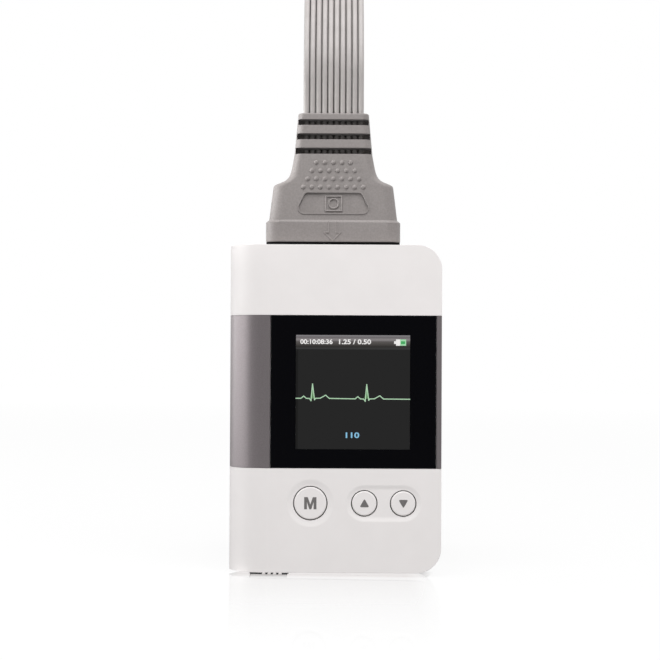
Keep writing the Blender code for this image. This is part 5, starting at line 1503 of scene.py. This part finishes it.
# %% Snap connectors and coloured rings
RING_OUTER, RING_INNER, RING_LOW, RING_HIGH, RING_EDGE = 3.3, 2.4, 3.2, 3.55, 0.08
RING_COLOURS = ("B8322A", "D9B62C", "3E8B46", "1E1E20", "E4E1DE", "7A4A2B", "D9772B", "2F62A8",
                "6C4A94", "8F8C89")
for place, code in enumerate(RING_COLOURS):
    number = str(place + 1)
    dress("snap_connector_" + number, soft_pvc, "lead_jacket", 0.1, "snap_" + number)
    middle = (SNAP_X + (place - (LEAD_COUNT - 1) / 2) * SNAP_PITCH, SNAP_Y + SNAP_ROW * (place % 2), 0)
    ring = add_rod("snap_ring_" + number, RING_OUTER, RING_LOW, RING_HIGH, middle, "Z", 40)
    cut(ring, add_rod("hole", RING_INNER, RING_LOW - OVERRUN, RING_HIGH + OVERRUN, middle, "Z", 40))
    smooth_off(ring, RING_EDGE)
    ring_dye, tree, shader = new_finish("dyed_abs_" + number, code, 0.4, IOR=1.54)
    grain(tree, shader, 0.3, 0.004, (0.36, 0.45))
    fit(ring, ring_dye, "lead_jacket", "recorder")

# %% [markdown]
# The battery door has a few ribs for the fingers. Each is a bar that is a little sunk into the
# door, with only its outer edges rounded, so it looks moulded on.

# %% Door grip
BACK = HALF_DEPTH
GRIP_LEFT, GRIP_RIGHT, GRIP_LOW, GRIP_PITCH, GRIP_WIDE = -14.6, -8.4, 6.2, 1.3, 0.6
GRIP_SUNK, GRIP_PROUD, GRIP_EDGE = 0.2, 0.22, 0.2
grip = []
for step in range(5):
    low = GRIP_LOW + step * GRIP_PITCH
    rib = add_block("rib", (GRIP_LEFT, BACK - GRIP_SUNK, low),
                    (GRIP_RIGHT, BACK + GRIP_PROUD, low + GRIP_WIDE))
    pick(rib, "EDGE", lambda ends: all(p.y > BACK + NEAR for p in ends))
    bevel_picked(GRIP_EDGE, 3)
    grip.append(rib)
grip_ribs = gather("door_grip_ribs", grip)
smooth_off(grip_ribs)
fit(grip_ribs, white_abs, "white_plastic", "door")
print("ribs on the door:", len(grip))

# %% [markdown]
# A small silver label on the back gives the cell's voltage, which is all a plain label needs.
# Brushed polyester reads as a soft metal, lighter than the band.

# %% Label with the cell's voltage
LABEL_LOW, LABEL_HIGH = (0.5, BACK - 0.02, 11.0), (17.5, BACK + 0.08, 20.5)
LABEL_CORNER, MARK_SIZE, MARK_PRINT, MARK_PLACE = 1.0, 4.2, 0.01, (15.2, BACK + 0.1, 14.2)
silver_label, tree, shader = new_finish("brushed_silver_polyester", "BDBBB9", 0.4, Metallic=0.6)
mottle(tree, shader, ("B8B6B4", "C2C0BE"), 0.6)
label = add_block("rating_label", LABEL_LOW, LABEL_HIGH)
pick(label, "EDGE", runs_along("y"))
bevel_picked(LABEL_CORNER, 6)
smooth_off(label)
fit(label, silver_label, "white_plastic", "recorder")
clear_selection()
bpy.ops.object.text_add(rotation=(math.pi / 2, 0, math.pi), location=[v * mm for v in MARK_PLACE])
voltage = bpy.context.object
voltage.data.body = "1.5 V"
voltage.data.size = MARK_SIZE * mm
voltage.data.extrude = MARK_PRINT * mm
bpy.ops.object.convert(target="MESH")
voltage = started("label_voltage")
fit(voltage, mark_ink, "dark_plastic", "recorder")
print("label, mm:", LABEL_HIGH[0] - LABEL_LOW[0], "by", LABEL_HIGH[2] - LABEL_LOW[2])

# %% [markdown]
# Each lead bends with the plug at one end and lies still at the other.

BLEND_START, BLEND_END = (0, 0, 0.098), (0, 0, 0.014)
for number, (lead, line) in enumerate(zip(leads, lead_lines)):
    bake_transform(lead, "lead_plug", "recorder", start=BLEND_START, end=BLEND_END)
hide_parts("lead_bundle", "lead_coil", "lead_tails")
bpy.data.objects.remove(body_form)
print("cords declared:", len(leads))

# %% [markdown]
# ## Table
#
# The table is a glossy white sheet that tips by a third of a degree. It mirrors the foot of the
# case for a few centimetres and then fades, so the gloss is a mask in the table's own
# coordinates, and only the camera sees it.

# %% Table sheet
TABLE_LEVEL, TABLE_TILT, TABLE_MIDDLE, TABLE_SIZE = -0.78, 0.35, 1.2, (6.0, 3.0)
clear_selection()
bpy.ops.mesh.primitive_plane_add(size=1, location=(0, TABLE_MIDDLE, TABLE_LEVEL * mm),
                                 rotation=(0, math.radians(TABLE_TILT), 0))
bpy.context.object.scale = (*TABLE_SIZE, 1)
table = started("table")
print("table tips by, degrees:", TABLE_TILT)

# %% [markdown]
# The mirror is strongest right at the foot of the case and fades towards the camera. A ramp
# holds its strength along the table, and two fades close it at the sides.

# %% Where the table mirrors
MIRROR = ((-130, 0.0), (-85, 0.12), (-54, 0.22), (-23, 0.38), (-17.5, 0.42), (-11.4, 0.5),
          (-9.6, 0.98), (0, 0.98), (4, 0.2), (20, 0.0))
SIDE_FADES = ((24, 17), (-26.5, -22.5))
table_finish = bpy.data.materials.new("backlit_glossy_acrylic")
table_finish.use_nodes = True
tree = table_finish.node_tree
tree.nodes.clear()
place = add_node(tree, "TexCoord").outputs["Object"]
place_parts = add_node(tree, "SeparateXYZ", Vector=place).outputs
seen = add_node(tree, "LightPath").outputs["Is Camera Ray"]
start, end = MIRROR[0][0], MIRROR[-1][0]
along = add_node(tree, "MapRange", {"From Min": start * mm, "From Max": end * mm},
                 Value=place_parts["Y"])
ramp = add_node(tree, "ValToRGB", Fac=along.outputs["Result"])
fill_ramp(ramp, [((stop - start) / (end - start), (amount, amount, amount, 1.0))
                 for stop, amount in MIRROR])
mask = ramp.outputs["Color"]
for clear, full in SIDE_FADES:
    fade = add_node(tree, "MapRange", {"From Min": clear * mm, "From Max": full * mm},
                    Value=place_parts["X"])
    mask = add_node(tree, "Math", {"operation": "MULTIPLY"}, mask, fade.outputs["Result"]).outputs[0]
mask = add_node(tree, "Math", {"operation": "MULTIPLY"}, mask, seen).outputs[0]
print("stops in the mirror:", len(MIRROR))

# %% [markdown]
# A matt sheet lit from all sides would look grey where the case shades it. The photograph's
# table is nearly white everywhere, so the sheet is dark and glows, at one level for the camera
# and at another for the light that it sends up to the case.

# %% How the table glows
OPEN_GLOW, HIDDEN_GLOW, NEAR_GLOW, FAR_GLOW = 0.26, 0.95, 0.895, 0.955
NEAR_PLACE, FAR_PLACE, GLOSS_ROUGHNESS, TABLE_GREY = 0.1, 2.0, 0.03, "505050"
UNDER_EDGES = (("X", 24.5), ("Y", 9.0))
sides = []
for axis, edge in UNDER_EDGES:
    distance = add_node(tree, "Math", {"operation": "ABSOLUTE"}, place_parts[axis])
    side = add_node(tree, "MapRange", {"From Min": (edge - 1) * mm, "From Max": (edge + 1) * mm,
                                       "To Min": 1.0, "To Max": 0.0}, Value=distance.outputs[0])
    sides.append(side.outputs["Result"])
under = add_node(tree, "Math", {"operation": "MULTIPLY"}, *sides)
sent_glow = add_node(tree, "MapRange", {"To Min": OPEN_GLOW, "To Max": HIDDEN_GLOW},
                     Value=under.outputs[0])
away = add_node(tree, "VectorMath", {"operation": "LENGTH"}, Vector=place)
seen_glow = add_node(tree, "MapRange", {"From Min": NEAR_PLACE, "From Max": FAR_PLACE,
                                        "To Min": NEAR_GLOW, "To Max": FAR_GLOW},
                     Value=away.outputs["Value"])
glow_level = add_node(tree, "Mix", {"data_type": "FLOAT"}, Factor=seen)
tree.links.new(sent_glow.outputs["Result"], glow_level.inputs[2])
tree.links.new(seen_glow.outputs["Result"], glow_level.inputs[3])
lit = add_node(tree, "Emission", {"Color": colour("FFFFFF")}, Strength=glow_level.outputs[0])
matt = add_node(tree, "BsdfDiffuse", {"Color": colour(TABLE_GREY)})
gloss = add_node(tree, "BsdfAnisotropic", {"Color": colour("FFFFFF"), "Roughness": GLOSS_ROUGHNESS})
base = add_node(tree, "AddShader", {}, lit.outputs[0], matt.outputs[0])
both = add_node(tree, "MixShader", {}, mask, base.outputs[0], gloss.outputs[0])
add_node(tree, "OutputMaterial", Surface=both.outputs[0])
paint(table, table_finish)
print("nodes in the table's finish:", len(tree.nodes))

# %% [markdown]
# ## Light
#
# Cards stand where only reflections see them: a dark one in front, so that the lens stays
# black, and a bright one on the left, which draws the streak on the round spine.

# %% Cards
DARK_CARD = ("dark_card", (0, -0.47, 0.3), (2.1, 2.4), (math.pi / 2, 0, 0), 0.02)
BRIGHT_CARD = ("bright_card", (-0.7, -0.035, 0.35), (0.9, 0.55), (0, math.pi / 2, 0), 3.0)


def add_card(name, middle, size, turn, level):
    """A flat card that only reflections see."""
    clear_selection()
    bpy.ops.mesh.primitive_plane_add(size=1, location=middle, rotation=turn)
    bpy.context.object.scale = (*size, 1)
    card = started(name)
    finish, tree, shader = new_finish(name + "_face", "000000", 1.0, Specular_IOR_Level=0.0,
                                      Emission_Strength=level)
    shader.inputs["Emission Color"].default_value = colour("FFFFFF")
    paint(card, finish)
    card.visible_camera = False
    card.visible_diffuse = False
    card.visible_shadow = False


for card in (DARK_CARD, BRIGHT_CARD):
    add_card(*card)
print("cards:", DARK_CARD[0], BRIGHT_CARD[0])

# %% [markdown]
# The surround is white to the camera, to reflections and through clear pieces, and dimmer as a
# source of light. A low soft box stands on the left and a little behind, and a large one hangs
# above the front. A lamp with a narrow snoot, also on the left, lights the side of the plug and
# nothing else.

# %% Surround
SURROUND = 0.64
world = bpy.data.worlds.new("surround")
bpy.context.scene.world = world
world.use_nodes = True
tree = world.node_tree
back = tree.nodes["Background"]
back.inputs["Color"].default_value = colour("FFFFFF")
path = add_node(tree, "LightPath").outputs
seen = add_node(tree, "Math", {"operation": "MAXIMUM"}, path["Is Camera Ray"],
                path["Is Transmission Ray"])
seen = add_node(tree, "Math", {"operation": "MAXIMUM"}, seen.outputs[0], path["Is Glossy Ray"])
strength = add_node(tree, "MapRange", {"To Min": SURROUND, "To Max": 1.0}, Value=seen.outputs[0])
tree.links.new(strength.outputs["Result"], back.inputs["Strength"])
print("surround as a light:", SURROUND)

# %% [markdown]
# Lamps are the light boxes of a small product shot. Each is hung at its place and aimed at the
# case. The power is low because they stand less than a metre away.

# %% Lamps
SOFT_BOXES = (("soft_box_left", (0.55, 0.9), 3.6, (-0.7, 0.25, 0.04), (0, -0.035, 0.04)),
              ("soft_box_top", (0.8, 0.7), 7.4, (0.02, -0.45, 0.75), (0, 0, 0.05)))
KICKER_POWER, KICKER_CONE, KICKER_BLEND, KICKER_RADIUS = 11.5, 3.1, 0.25, 0.01
KICKER_PLACE, KICKER_TARGET = (-0.69, -0.105, 0.099), (0, 0, 0.099)


def hang_lamp(name, data, place, target):
    """Hang a lamp at a place, in metres, and aim it."""
    lamp = bpy.data.objects.new(name, data)
    lamp.location = place
    lamp.rotation_euler = (Vector(target) - Vector(place)).to_track_quat("-Z", "Y").to_euler()
    bpy.context.scene.collection.objects.link(lamp)


for name, size, power, place, target in SOFT_BOXES:
    box = bpy.data.lights.new(name, "AREA")
    box.shape = "RECTANGLE"
    box.size, box.size_y = size
    box.energy = power
    hang_lamp(name, box, place, target)
kicker = bpy.data.lights.new("snooted_kicker", "SPOT")
kicker.energy = KICKER_POWER
kicker.spot_size = math.radians(KICKER_CONE)
kicker.spot_blend = KICKER_BLEND
kicker.shadow_soft_size = KICKER_RADIUS
hang_lamp("snooted_kicker", kicker, KICKER_PLACE, KICKER_TARGET)
print("lamps:", len(bpy.data.lights))
